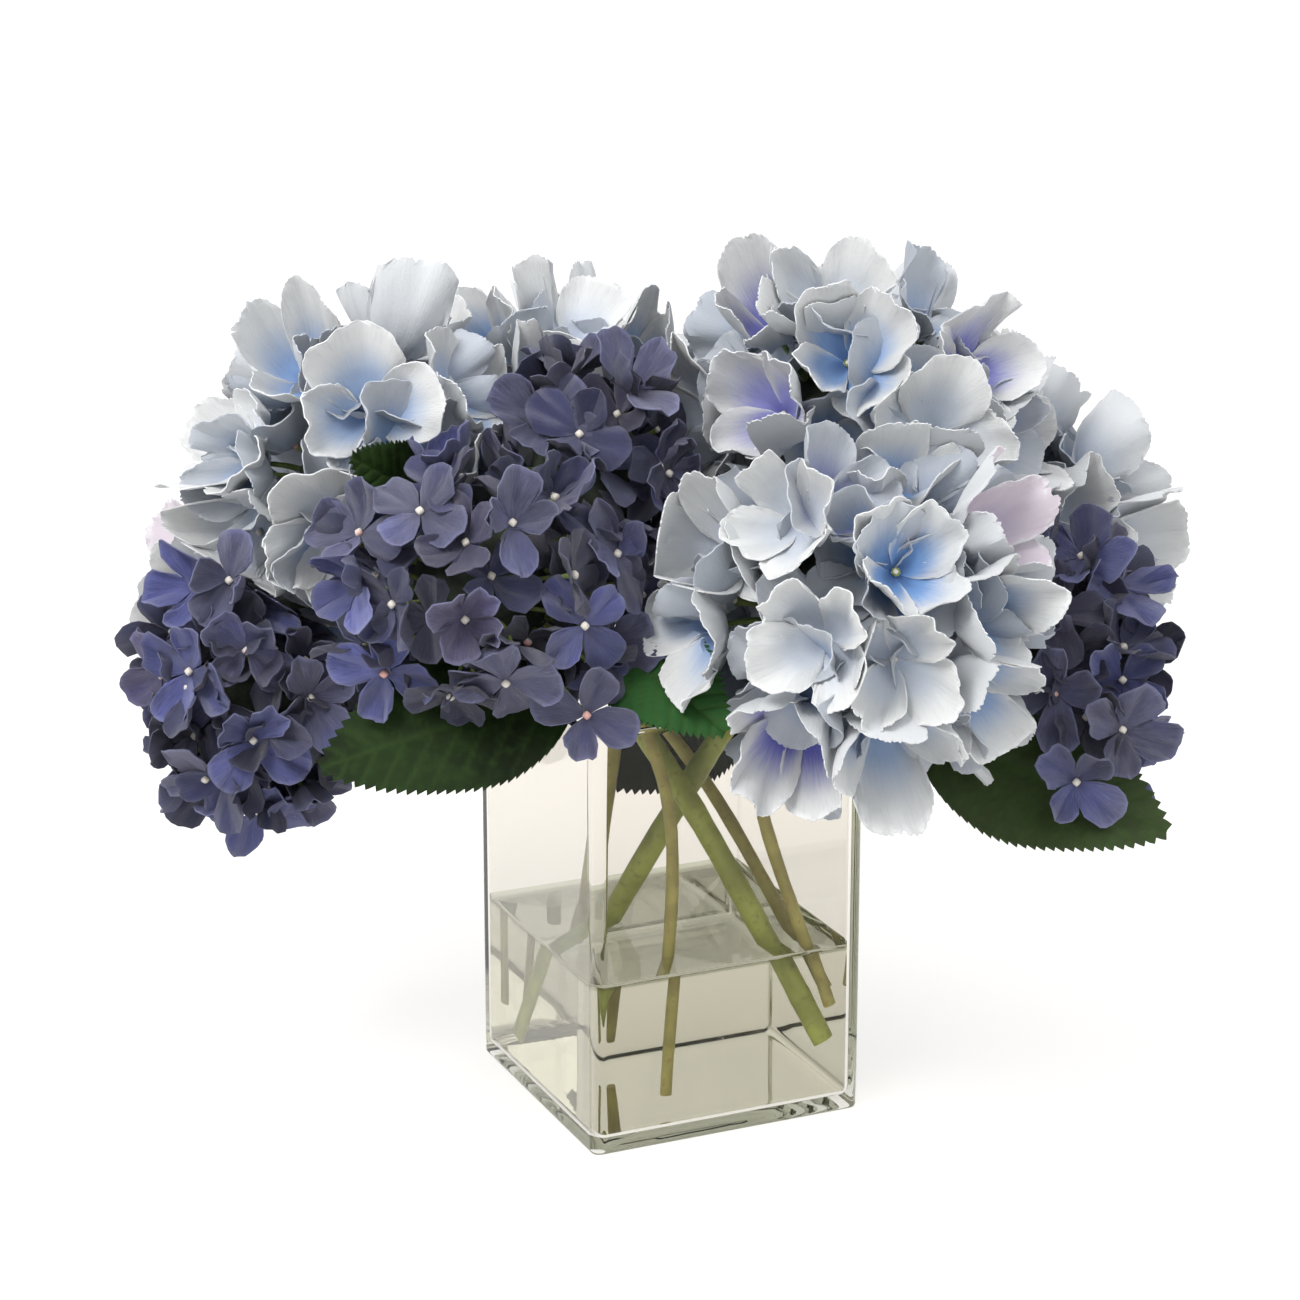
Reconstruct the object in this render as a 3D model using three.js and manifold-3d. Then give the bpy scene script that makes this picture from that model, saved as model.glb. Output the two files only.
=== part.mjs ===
// Hydrangeas in a square glass vase: seven pale heads and six dark ones on six forked stems, with leaves.
// Millimetres, +Z up, origin at the centre of the vase's underside, the vase's faces square to X and Y.
// The flowers are laid out in a group turned about Z: its own X runs to the viewer's right, its Y away.
import * as THREE from "three";
import { mergeVertices } from "three/addons/utils/BufferGeometryUtils.js";
import Module from "manifold-3d";

const wasm = await Module();
wasm.setup();

// Glass vase
const VASE_SIDE = 102;
const VASE_HEIGHT = 152;
const VASE_WALL = 4;
const VASE_FLOOR = 5;
const VASE_CORNER = 3.5;
const VASE_INNER_CORNER = 3;
const VASE_EDGE_ROUND = 2;
const INNER_SIDE = VASE_SIDE - 2 * VASE_WALL;

// Clear filling, and the gap that touching pieces keep
const WATER_LEVEL = 60;
const GAP = 0.3;

// The flowers face the viewer, and the vase stands a little turned beneath them
const BOUQUET_TURN = THREE.MathUtils.degToRad(-24.2);

// Florets. As shares of a head's radius, seat is where they sit and core is the ball that carries them.
// As shares of a petal's reach, notch and shoulder are its outline between petals and beside its tip.
// Spare is how near the spiral's florets may come to those placed by eye, as a share of their spacing.
const KINDS = {
  pale: {
    reach: 37, seat: 0.68, core: 0.42, notch: 0.76, shoulder: 0.95, cup: 0.7, lip: 0.22,
    thick: 0.9, stalk: 1.8, spare: 0.85, creased: false, color: 0xc9d3e2,
  },
  dark: {
    reach: 22, seat: 0.76, core: 0.45, notch: 0.46, shoulder: 0.95, cup: 0.16, lip: 0.1,
    thick: 0.8, stalk: 1.2, spare: 0.72, creased: true, color: 0x5a5c94,
  },
};
const PETALS = 4;
const SHOULDER_ANGLE = THREE.MathUtils.degToRad(30);
const PETAL_MIDDLE = 0.56;
const CUP_DRAW = 0.35;
const CUP_RISE = 0.9;
const UNDER_SHARE = 0.96;
const STALK_SINK = 4;
const FACING_JITTER = 0.28;
const FACING_VIEWER = [0, -0.5, 0.1];
const SIZE_SPREAD = 0.2;
const CUP_SPREAD = 0.3;
const ROLL_STEP = 1.1;
const BRIM = 0.98;

// Walls that florets stop at: how far short of them the petals end, and the least room a floret needs
const WALL_MARGIN = 1.4;
const PETAL_MARGIN = 0.5;
const CELL_MARGIN = 4;
const LEAST_SEAT = 0.74;
const LEAST_SHARE = 0.3;
const SHARE_STEP = 0.04;

// Heads: centre, radius, the stretch of the ball that the florets sit on, the axis that its dome opens
// along, how far round that axis the florets go in degrees, how many the rule spreads over the dome, and
// the florets placed by eye as [right, up, roll], where roll is in degrees
const ROUND = [1, 1, 1];
const HEADS = [
  {
    name: "pale_front", kind: "pale", centre: [60, -45, 188], radius: 68, stretch: ROUND,
    axis: [0.45, -0.6, 0.66], reachAngle: 112, count: 15, seed: 11,
    placed: [
      [-18, 36, 20], [13, 25, 50], [-44, 26, 70], [-44, 0, 10], [-10, 5, 35], [38, 8, 15], [48, 34, 60],
      [-18, -28, 40], [8, -25, 5], [34, -14, 30], [12, -2, 60],
    ],
  },
  {
    name: "pale_top", kind: "pale", centre: [62, 22, 230], radius: 73, stretch: ROUND,
    axis: [0.25, -0.1, 0.95], reachAngle: 118, count: 17, seed: 23,
    placed: [
      [-24, 19, 40], [-34, 54, 15], [-2, 36, 30], [38, 27, 10], [24, 12, 75], [54, 2, 35], [60, -18, 50],
      [-54, 14, 5], [4, -8, 55], [-8, 46, 30],
    ],
  },
  {
    name: "pale_left", kind: "pale", centre: [-103, 15, 218], radius: 63, stretch: ROUND,
    axis: [-0.55, -0.1, 0.8], reachAngle: 118, count: 14, seed: 31,
    placed: [[2, 30, 10], [-21, 41, 55], [-46, 10, 30], [-37, -14, 70], [-10, -6, 25], [34, 32, 60]],
  },
  {
    name: "pale_mid", kind: "pale", centre: [-40, 64, 218], radius: 59, stretch: ROUND,
    axis: [-0.1, 0.2, 0.97], reachAngle: 112, count: 12, seed: 43,
    placed: [[-22, 34, 20], [6, 42, 65], [34, 32, 40]],
  },
  {
    name: "pale_rear_left", kind: "pale", centre: [-130, 56, 153], radius: 57, stretch: ROUND,
    axis: [-0.8, 0.45, -0.1], reachAngle: 105, count: 11, seed: 53, placed: [],
  },
  {
    name: "pale_rear_right", kind: "pale", centre: [118, 61, 184], radius: 59, stretch: ROUND,
    axis: [0.8, 0.45, 0.35], reachAngle: 108, count: 11, seed: 61, placed: [],
  },
  {
    name: "pale_rear", kind: "pale", centre: [18, 96, 184], radius: 61, stretch: ROUND,
    axis: [0.05, 0.9, 0.4], reachAngle: 112, count: 13, seed: 71, placed: [],
  },
  {
    name: "dark_mid", kind: "dark", centre: [-27, -4, 224], radius: 50, stretch: ROUND,
    axis: [-0.05, -0.8, 0.55], reachAngle: 112, count: 16, seed: 83,
    placed: [[-11, -15, 20], [-14, 26, 60], [14, 34, 35], [27, 8, 5], [-32, 6, 45], [18, -30, 70]],
  },
  {
    name: "dark_front", kind: "dark", centre: [-62, -55, 199], radius: 54, stretch: [1.15, 1, 1],
    axis: [-0.2, -0.9, 0.35], reachAngle: 114, count: 17, seed: 97,
    placed: [
      [30, -4, 40], [8, -21, 15], [-27, -22, 75], [-3, 2, 60], [-34, 8, 30], [36, -34, 12], [-16, 32, 50],
      [10, 30, 5], [-44, 28, 65],
    ],
  },
  {
    name: "dark_left", kind: "dark", centre: [-144, -10, 152], radius: 47, stretch: [0.9, 0.9, 1.25],
    axis: [-0.96, 0.1, -0.25], reachAngle: 118, count: 18, seed: 101,
    placed: [
      [8, 30, 42], [-20, 10, 70], [25, 2, 20], [4, -8, 55], [-22, 34, 10], [-16, -22, 35], [2, -42, 60],
      [20, -30, 5],
    ],
  },
  {
    name: "dark_right", kind: "dark", centre: [133, -13, 157], radius: 46, stretch: [0.9, 0.9, 1.3],
    axis: [0.96, 0.1, -0.25], reachAngle: 118, count: 18, seed: 113,
    placed: [
      [0, -33, 30], [8, 36, 65], [-4, 2, 10], [22, 4, 45], [-20, 16, 75], [22, 26, 20], [18, -26, 55],
    ],
  },
  {
    name: "dark_rear_left", kind: "dark", centre: [-58, 98, 152], radius: 47, stretch: ROUND,
    axis: [-0.35, 0.9, 0], reachAngle: 112, count: 13, seed: 127, placed: [],
  },
  {
    name: "dark_rear_right", kind: "dark", centre: [80, 104, 146], radius: 48, stretch: ROUND,
    axis: [0.45, 0.85, -0.05], reachAngle: 112, count: 13, seed: 131, placed: [],
  },
];

// Stems: a foot in the filling, the route up to the fork, and a branch to each head that the stem carries
const STEMS = [
  {
    name: "stem_front", radius: 2.3, route: [[55, -19, 38], [31, -24, 114], [28, -28, 146]],
    branches: [
      { to: "pale_front", by: [[38, -36, 166]] },
      { to: "dark_right", by: [[62, -20, 162], [100, -8, 160]] },
    ],
  },
  {
    name: "stem_top", radius: 4, route: [[-46, 11, 13], [6, -3, 112], [30, 4, 150]],
    branches: [
      { to: "pale_top", by: [[50, 12, 188]] },
      { to: "pale_rear_right", by: [[62, 20, 168], [92, 36, 178]] },
    ],
  },
  {
    name: "stem_left", radius: 4, route: [[53, -20.5, 25], [6, -14, 112], [-22, -2, 152]],
    branches: [
      { to: "pale_left", by: [[-54, 4, 188]] },
      { to: "pale_rear_left", by: [[-54, 14, 170], [-94, 36, 162]] },
    ],
  },
  {
    name: "stem_mid", radius: 2.8, route: [[-33, 27, 14], [-20, 24, 116], [-14, 30, 150]],
    branches: [
      { to: "pale_mid", by: [[-24, 42, 182]] },
      { to: "pale_rear", by: [[-2, 56, 170]] },
      { to: "dark_rear_right", by: [[30, 50, 162]] },
    ],
  },
  {
    name: "stem_dark_front", radius: 2.2, route: [[-4, -32, 11], [0, -28, 110], [-12, -24, 152]],
    branches: [{ to: "dark_mid", by: [[-18, -16, 184]] }, { to: "dark_front", by: [[-32, -36, 174]] }],
  },
  {
    name: "stem_dark_left", radius: 2.4, route: [[53, -12, 42], [14, 9, 108], [-20, 18, 152]],
    branches: [
      { to: "dark_left", by: [[-62, 6, 160], [-104, -2, 158]] },
      { to: "dark_rear_left", by: [[-36, 58, 160]] },
    ],
  },
];
const BRANCH_SHARE = 0.72;
const BRANCH_SINK = 0.16;
const STEM_SIDES = 6;
const STEM_STEP = 28;
const SOCKET_LEVEL = 0.45;

// Leaves: how far along a stem or one of its branches the stalk springs, where the stalk ends, the blade's
// tip, its width, the way its face looks, how far its tip droops, and how far it folds up from the rib
const LEAVES = [
  {
    name: "leaf_front_left", stem: "stem_dark_front", branch: null, along: 0.97,
    base: [-31, -58, 166], tip: [-114, -84, 148], width: 50, face: [0.1, -0.75, 0.66], droop: 8, fold: 3,
  },
  {
    name: "leaf_front_mid", stem: "stem_dark_front", branch: null, along: 0.88,
    base: [-22, -52, 181], tip: [18, -82, 160], width: 36, face: [-0.15, -0.62, 0.77], droop: 7, fold: 3,
  },
  {
    name: "leaf_in_mouth", stem: "stem_top", branch: null, along: 0.93,
    base: [26, 38, 142], tip: [-20, 36, 106], width: 44, face: [0.05, -0.98, 0.2], droop: 2, fold: 2,
  },
  {
    name: "leaf_front_right", stem: "stem_front", branch: "dark_right", along: 0.3,
    base: [84, -34, 142], tip: [168, -56, 116], width: 54, face: [0.1, -0.72, 0.68], droop: 8, fold: 3,
  },
  {
    name: "leaf_left_high", stem: "stem_left", branch: "pale_left", along: 0.55,
    base: [-77, -20, 218], tip: [-103, -48, 242], width: 26, face: [-0.2, -0.8, 0.5], droop: 4, fold: 2,
  },
  {
    name: "leaf_rear_left", stem: "stem_dark_left", branch: "dark_rear_left", along: 0.5,
    base: [-66, 76, 200], tip: [-116, 128, 200], width: 46, face: [-0.3, 0.35, 0.88], droop: 10, fold: 3,
  },
  {
    name: "leaf_rear_mid", stem: "stem_mid", branch: "dark_rear_right", along: 0.4,
    base: [26, 84, 134], tip: [22, 150, 104], width: 50, face: [0, 0.6, 0.8], droop: 8, fold: 3,
  },
  {
    name: "leaf_rear_right", stem: "stem_top", branch: "pale_rear_right", along: 0.75,
    base: [118, 76, 142], tip: [176, 110, 118], width: 48, face: [0.4, 0.4, 0.82], droop: 8, fold: 3,
  },
];
const LEAF_TEETH = 7;
const LEAF_TOOTH = 1.6;
const LEAF_THICK = 0.9;
const LEAF_WAVE = 1.2;
const LEAF_WAVE_TURNS = 11;
const LEAF_CREST = 0.6;
const LEAF_FULLNESS = 0.8;
const LEAF_STALK = 1.3;
const LEAF_STALK_SIDES = 5;
const LEAF_STALK_STEP = 40;
const LEAF_STALK_SINK = 5;
const LEAF_STALK_DROP = 0.4;
const LEAF_STALK_RISE = 3;
const LEAF_STALK_KNEE = 0.6;

// A generator that gives the same numbers wherever it is written
function drawer(seed) {
  let state = seed;
  return () => {
    state = (state * 1664525 + 1013904223) % 4294967296;
    return state / 4294967296;
  };
}

const vec = (p) => new THREE.Vector3(...p);
const UP = vec([0, 0, 1]);
const GOLDEN_ANGLE = Math.PI * (3 - Math.sqrt(5));

// Solids
function solidOf(geometry) {
  const bare = geometry.clone();
  for (const name of Object.keys(bare.attributes)) {
    if (name !== "position") bare.deleteAttribute(name);
  }
  const merged = mergeVertices(bare, 1e-4);
  return new wasm.Manifold(
    new wasm.Mesh({
      numProp: 3,
      vertProperties: new Float32Array(merged.attributes.position.array),
      triVerts: new Uint32Array(merged.index.array),
    }),
  );
}

function geometryOf(solid) {
  const mesh = solid.getMesh();
  return new THREE.BufferGeometry()
    .setAttribute("position", new THREE.BufferAttribute(mesh.vertProperties, 3))
    .setIndex(new THREE.BufferAttribute(mesh.triVerts, 1));
}

function closedMesh(points, faces) {
  return new THREE.BufferGeometry()
    .setAttribute("position", new THREE.Float32BufferAttribute(points.flatMap((p) => p.toArray()), 3))
    .setIndex(faces.flat());
}

function largestPiece(solid) {
  const pieces = solid.decompose();
  return pieces.reduce((a, b) => (a.volume() >= b.volume() ? a : b));
}

// Square outlines with round corners, raised into prisms with softened ends
function roundedSquare(side, corner) {
  const h = side / 2;
  const shape = new THREE.Shape();
  shape.moveTo(-h + corner, -h);
  shape.lineTo(h - corner, -h);
  shape.absarc(h - corner, -h + corner, corner, -Math.PI / 2, 0);
  shape.lineTo(h, h - corner);
  shape.absarc(h - corner, h - corner, corner, 0, Math.PI / 2);
  shape.lineTo(-h + corner, h);
  shape.absarc(-h + corner, h - corner, corner, Math.PI / 2, Math.PI);
  shape.lineTo(-h, -h + corner);
  shape.absarc(-h + corner, -h + corner, corner, Math.PI, Math.PI * 1.5);
  return shape;
}

function softPrism(side, corner, low, high, round) {
  const geometry = new THREE.ExtrudeGeometry(roundedSquare(side - 2 * round, corner - round), {
    depth: high - low - 2 * round,
    bevelThickness: round,
    bevelSize: round,
    bevelSegments: 1,
    curveSegments: 3,
  });
  return geometry.translate(0, 0, low + round);
}

function plainPrism(side, corner, low, high) {
  return new THREE.ExtrudeGeometry(roundedSquare(side, corner), {
    depth: high - low,
    bevelEnabled: false,
    curveSegments: 3,
  }).translate(0, 0, low);
}

// Stems and stalks. With extra they are thicker and longer by that much: the room they need in other pieces
function curveThrough(points) {
  return new THREE.CatmullRomCurve3(points, false, "centripetal");
}

function tube(points, radius, extra, sides = STEM_SIDES, step = STEM_STEP) {
  const section = new THREE.Shape();
  for (let i = 0; i < sides; i++) {
    const angle = (i / sides) * Math.PI * 2;
    const at = [(radius + extra) * Math.cos(angle), (radius + extra) * Math.sin(angle)];
    if (i) section.lineTo(...at);
    else section.moveTo(...at);
  }
  const path = points.map((p) => p.clone());
  const count = path.length;
  path[0].addScaledVector(points[0].clone().sub(points[1]).normalize(), extra);
  path[count - 1].addScaledVector(points[count - 1].clone().sub(points[count - 2]).normalize(), extra);
  return new THREE.ExtrudeGeometry(section, {
    extrudePath: curveThrough(path),
    steps: Math.max(2, Math.round(curveThrough(points).getLength() / step)),
    bevelEnabled: false,
  });
}

function named(list, name) {
  return list.find((item) => item.name === name);
}

function coreRadius(head) {
  return head.radius * KINDS[head.kind].core;
}

function branchRoute(stem, branch) {
  const head = named(HEADS, branch.to);
  const centre = vec(head.centre);
  const [before, fork] = stem.route.slice(-2).map(vec);
  const by = branch.by.map(vec);
  const last = by[by.length - 1];
  const end = centre.clone().lerp(last, (coreRadius(head) * SOCKET_LEVEL) / centre.distanceTo(last));
  return [fork.clone().lerp(before, BRANCH_SINK), fork, ...by, end];
}

function stemSolid(stem, extra) {
  let solid = solidOf(tube(stem.route.map(vec), stem.radius, extra));
  for (const branch of stem.branches) {
    solid = solid.add(solidOf(tube(branchRoute(stem, branch), stem.radius * BRANCH_SHARE, extra)));
  }
  return solid;
}

// Where a floret stops: flat walls halfway to its neighbours, to the other heads, and just outside the vase
function wallBetween(centre, head, other) {
  const normal = vec(other.centre).sub(centre);
  const distance = normal.length();
  const share = (distance ** 2 + head.radius ** 2 - other.radius ** 2) / (2 * distance);
  normal.normalize();
  return { normal, limit: normal.dot(centre) + share - WALL_MARGIN };
}

function vaseWall(spot) {
  const half = VASE_SIDE / 2 + WALL_MARGIN;
  const faces = [[1, 0, 0, half], [-1, 0, 0, half], [0, 1, 0, half], [0, -1, 0, half]];
  const walls = [...faces, [0, 0, 1, VASE_HEIGHT + WALL_MARGIN]].map(([x, y, z, from]) => {
    const normal = vec([-x, -y, -z]).applyAxisAngle(UP, -BOUQUET_TURN);
    return { normal, limit: -from };
  });
  return walls.reduce((a, b) => (roomTo(a, spot) > roomTo(b, spot) ? a : b));
}

function roomTo(wall, spot) {
  return wall.limit - wall.normal.dot(spot);
}

function within(point, walls) {
  return walls.every((wall) => roomTo(wall, point) > 0);
}

// Florets: four cupped petals, each a blade that is thickest in its middle, on a square stalk sunk in a core
function floretFrame(floret) {
  const side = new THREE.Vector3(1, 0, 0);
  if (Math.abs(floret.facing.x) > 0.9) side.set(0, 1, 0);
  const across = side.cross(floret.facing).normalize();
  const along = floret.facing.clone().cross(across).normalize();
  return new THREE.Matrix4().makeBasis(across, along, floret.facing).setPosition(floret.centre);
}

function petalPoint(kind, floret, share, angle) {
  const out = floret.reach * (share - CUP_DRAW * floret.cup * share ** 2);
  const up = floret.reach * floret.cup * (CUP_RISE * share ** 2 - kind.lip * share ** 4);
  return new THREE.Vector3(out * Math.cos(angle), out * Math.sin(angle), up);
}

function floretGeometry(kind, floret, foot) {
  const quarter = Math.PI / 2;
  const frame = floretFrame(floret);
  const points = [];
  const put = (p) => points.push(p.clone().applyMatrix4(frame)) - 1;
  const fits = (point) => within(point.clone().applyMatrix4(frame), floret.walls);
  const limited = (share, angle) => {
    let kept = share;
    while (kept > LEAST_SHARE && !fits(petalPoint(kind, floret, kept, angle))) kept -= SHARE_STEP;
    return petalPoint(kind, floret, kept, angle);
  };
  const petals = [];
  for (let k = 0; k < PETALS; k++) {
    const middle = floret.roll + k * quarter;
    const tip = limited(1, middle);
    const above = limited(PETAL_MIDDLE, middle);
    if (above.length() > tip.length() * PETAL_MIDDLE) above.setLength(tip.length() * PETAL_MIDDLE);
    petals.push({
      above: kind.creased ? null : put(above),
      under: put(above.clone().multiplyScalar(UNDER_SHARE).addScaledVector(UP, -kind.thick)),
      low: put(limited(kind.shoulder, middle - SHOULDER_ANGLE)),
      tip: put(tip),
      high: put(limited(kind.shoulder, middle + SHOULDER_ANGLE)),
      notch: put(limited(kind.notch, middle + quarter / 2)),
    });
  }
  const centre = put(new THREE.Vector3(0, 0, 0));
  const stalk = [];
  const root = [];
  for (let k = 0; k < PETALS; k++) {
    const angle = floret.roll + (k + 0.5) * quarter;
    const spoke = new THREE.Vector3(Math.cos(angle), Math.sin(angle), 0).multiplyScalar(kind.stalk);
    stalk.push(put(spoke.clone().setZ(-kind.thick)));
    const sunk = spoke.clone().transformDirection(frame).multiplyScalar(kind.stalk);
    root.push(points.push(sunk.add(foot)) - 1);
  }
  const faces = [];
  for (let k = 0; k < PETALS; k++) {
    const before = (k + PETALS - 1) % PETALS;
    const petal = petals[k];
    const rim = [petals[before].notch, petal.low, petal.tip, petal.high, petal.notch];
    if (!kind.creased) faces.push([petal.above, centre, rim[0]], [petal.above, rim[4], centre]);
    faces.push([petal.under, rim[0], stalk[before]], [petal.under, stalk[k], rim[4]]);
    faces.push([petal.under, stalk[before], stalk[k]]);
    for (let i = 0; i < 4; i++) {
      faces.push([petal.above ?? centre, rim[i], rim[i + 1]], [petal.under, rim[i + 1], rim[i]]);
    }
    faces.push([stalk[k], stalk[before], root[before]], [stalk[k], root[before], root[k]]);
  }
  faces.push([root[0], root[2], root[1]], [root[0], root[3], root[2]]);
  return closedMesh(points, faces);
}

// Where a head's florets go: those placed by eye first, then a spiral over the rest of its dome
function floretsOf(head) {
  const kind = KINDS[head.kind];
  const seat = head.radius * kind.seat;
  const next = drawer(head.seed);
  const centre = vec(head.centre);
  const others = HEADS.filter((other) => other !== head);
  const headWalls = others.map((other) => wallBetween(centre, head, other));
  const found = [];
  const add = (direction, roll, towards) => {
    const lean = towards.map((x) => x + (next() - 0.5) * 2 * FACING_JITTER);
    const size = 1 + (next() - 0.5) * SIZE_SPREAD;
    const cup = kind.cup + (next() - 0.5) * CUP_SPREAD;
    const spoke = direction.clone().multiply(vec(head.stretch));
    const full = spoke.length() * seat;
    spoke.normalize();
    const spot = centre.clone().addScaledVector(spoke, full);
    for (const wall of headWalls) {
      const past = CELL_MARGIN - roomTo(wall, spot);
      if (past > 0) spot.addScaledVector(spoke, -past / wall.normal.dot(spoke));
    }
    const glassWall = vaseWall(spot);
    if (spot.distanceTo(centre) < full * LEAST_SEAT || roomTo(glassWall, spot) < CELL_MARGIN) return;
    const facing = direction.clone().add(vec(lean)).normalize();
    const walls = [...headWalls, glassWall];
    found.push({ centre: spot, direction, facing, roll, cup, reach: kind.reach * size, walls });
  };
  const placed = head.placed.map(([right, up]) => {
    const far = Math.min(1, (seat * BRIM) / Math.hypot(right, up));
    const depth = Math.sqrt(seat ** 2 - (right * far) ** 2 - (up * far) ** 2);
    return new THREE.Vector3(right * far, -depth, up * far).normalize();
  });
  placed.forEach((direction, i) => {
    add(direction, THREE.MathUtils.degToRad(head.placed[i][2]), FACING_VIEWER);
  });
  const axis = vec(head.axis).normalize();
  const turn = new THREE.Quaternion().setFromUnitVectors(UP, axis);
  const least = Math.cos(THREE.MathUtils.degToRad(head.reachAngle));
  const spacing = Math.sqrt((2 * Math.PI * (1 - least)) / head.count);
  for (let i = 0; i < head.count; i++) {
    const level = 1 - ((i + 0.5) / head.count) * (1 - least);
    const round = i * GOLDEN_ANGLE + head.seed;
    const flat = Math.sqrt(1 - level ** 2);
    const direction = vec([flat * Math.cos(round), flat * Math.sin(round), level]).applyQuaternion(turn);
    if (placed.some((p) => p.angleTo(direction) < spacing * kind.spare)) continue;
    add(direction, (i * ROLL_STEP) % (Math.PI / 2), [0, 0, 0]);
  }
  for (const floret of found) {
    for (const other of found) {
      if (other === floret) continue;
      const normal = other.centre.clone().sub(floret.centre).normalize();
      const middle = other.centre.clone().add(floret.centre).multiplyScalar(0.5);
      floret.walls.push({ normal, limit: normal.dot(middle) - PETAL_MARGIN });
    }
  }
  return found;
}

function headSolid(head) {
  const kind = KINDS[head.kind];
  const centre = vec(head.centre);
  const core = coreRadius(head);
  const ball = solidOf(new THREE.IcosahedronGeometry(core, 1).translate(...head.centre));
  const made = floretsOf(head).map((floret) => {
    const foot = centre.clone().addScaledVector(floret.direction, core - STALK_SINK);
    return solidOf(floretGeometry(kind, floret, foot));
  });
  return wasm.Manifold.union([ball, ...made]);
}

// Leaves: a blade with a toothed edge, arched along its rib and folded a little, on a round stalk
function leafHalfWidth(leaf, share) {
  return (leaf.width / 2) * Math.sin(Math.PI * share ** LEAF_FULLNESS) ** LEAF_FULLNESS;
}

function leafGeometry(leaf, extra) {
  const base = vec(leaf.base);
  const along = vec(leaf.tip).sub(base);
  const length = along.length();
  along.normalize();
  const face = vec(leaf.face);
  face.addScaledVector(along, -face.dot(along)).normalize();
  const side = face.clone().cross(along).normalize();
  const place = (share, out, drop) => {
    const outShare = Math.abs(out) / (leaf.width / 2);
    const lift = leaf.droop * (LEAF_CREST * share - share ** 2) + leaf.fold * outShare;
    const wave = LEAF_WAVE * outShare * Math.sin(share * LEAF_WAVE_TURNS + (out > 0 ? 1 : 0));
    const p = base.clone().addScaledVector(along, share * length + extra * (2 * share - 1));
    return p.addScaledVector(side, out).addScaledVector(face, lift + wave - drop);
  };
  const points = [];
  const faces = [];
  const stations = LEAF_TEETH * 2;
  const [top, under] = [-extra, LEAF_THICK + extra].map((drop) => {
    const rib = [];
    const edges = [[], []];
    for (let i = 0; i <= stations; i++) {
      const share = i / stations;
      if (i % 2 === 0) rib.push(points.push(place(share, 0, drop)) - 1);
      if (i === 0 || i === stations) continue;
      const tooth = i % 2 ? LEAF_TOOTH : 0;
      const out = leafHalfWidth(leaf, share) + tooth + extra;
      [1, -1].forEach((sign, s) => {
        edges[s].push(points.push(place(share + tooth / length, sign * out, drop)) - 1);
      });
    }
    return edges.map((edge) => ({ rib, edge: [rib[0], ...edge, rib[LEAF_TEETH]] }));
  });
  [0, 1].forEach((s) => {
    const add = (a, b, c, flipped) => faces.push((s === 0) === flipped ? [a, c, b] : [a, b, c]);
    for (const [{ rib, edge }, flipped] of [[top[s], false], [under[s], true]]) {
      for (let j = 0; j < LEAF_TEETH; j++) {
        const [e0, e1, e2] = edge.slice(2 * j, 2 * j + 3);
        if (j > 0) add(rib[j], e1, e0, flipped);
        if (j < LEAF_TEETH - 1) add(rib[j + 1], e2, e1, flipped);
        add(rib[j], rib[j + 1], e1, flipped);
      }
    }
    const [rim, rimUnder] = [top[s].edge, under[s].edge];
    for (let i = 0; i < rim.length - 1; i++) {
      add(rim[i], rim[i + 1], rimUnder[i + 1], false);
      add(rim[i], rimUnder[i + 1], rimUnder[i], false);
    }
  });
  return closedMesh(points, faces);
}

function leafStalk(leaf, extra) {
  const stem = named(STEMS, leaf.stem);
  const branch = stem.branches.find((b) => b.to === leaf.branch);
  const start = curveThrough(branch ? branchRoute(stem, branch) : stem.route.map(vec)).getPoint(leaf.along);
  const base = vec(leaf.base);
  const along = vec(leaf.tip).sub(base).normalize();
  const sunk = base.clone().addScaledVector(along, LEAF_STALK_SINK);
  sunk.addScaledVector(vec(leaf.face).normalize(), -LEAF_STALK_DROP);
  const knee = start.clone().lerp(base, LEAF_STALK_KNEE).addScaledVector(UP, LEAF_STALK_RISE);
  return tube([start, knee, sunk], LEAF_STALK, extra, LEAF_STALK_SIDES, LEAF_STALK_STEP);
}

function leafSolid(leaf, extra) {
  return solidOf(leafGeometry(leaf, extra)).add(solidOf(leafStalk(leaf, extra)));
}

// What the heads and leaves are trimmed by: the room that the glass, the stems and the leaves need
function turned(solid, angle) {
  return solid.rotate([0, 0, THREE.MathUtils.radToDeg(angle)]);
}

function trimmed(solid, rooms) {
  return largestPiece(rooms.reduce((rest, room) => rest.subtract(room), solid));
}

function vaseSolid() {
  const outside = solidOf(softPrism(VASE_SIDE, VASE_CORNER, 0, VASE_HEIGHT, VASE_EDGE_ROUND));
  const inside = solidOf(plainPrism(INNER_SIDE, VASE_INNER_CORNER, VASE_FLOOR, VASE_HEIGHT + GAP));
  return outside.subtract(inside);
}

function vaseRoom() {
  const outside = solidOf(plainPrism(VASE_SIDE + 2 * GAP, VASE_CORNER, -GAP, VASE_HEIGHT + GAP));
  const inside = plainPrism(INNER_SIDE - 2 * GAP, VASE_INNER_CORNER, VASE_FLOOR, VASE_HEIGHT + 2 * GAP);
  return turned(outside.subtract(solidOf(inside)), -BOUQUET_TURN);
}

function waterSolid() {
  const low = VASE_FLOOR + GAP;
  const block = solidOf(plainPrism(INNER_SIDE - 2 * GAP, VASE_INNER_CORNER, low, WATER_LEVEL));
  return STEMS.reduce((rest, stem) => {
    return rest.subtract(turned(solidOf(tube(stem.route.map(vec), stem.radius, GAP)), BOUQUET_TURN));
  }, block);
}

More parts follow.
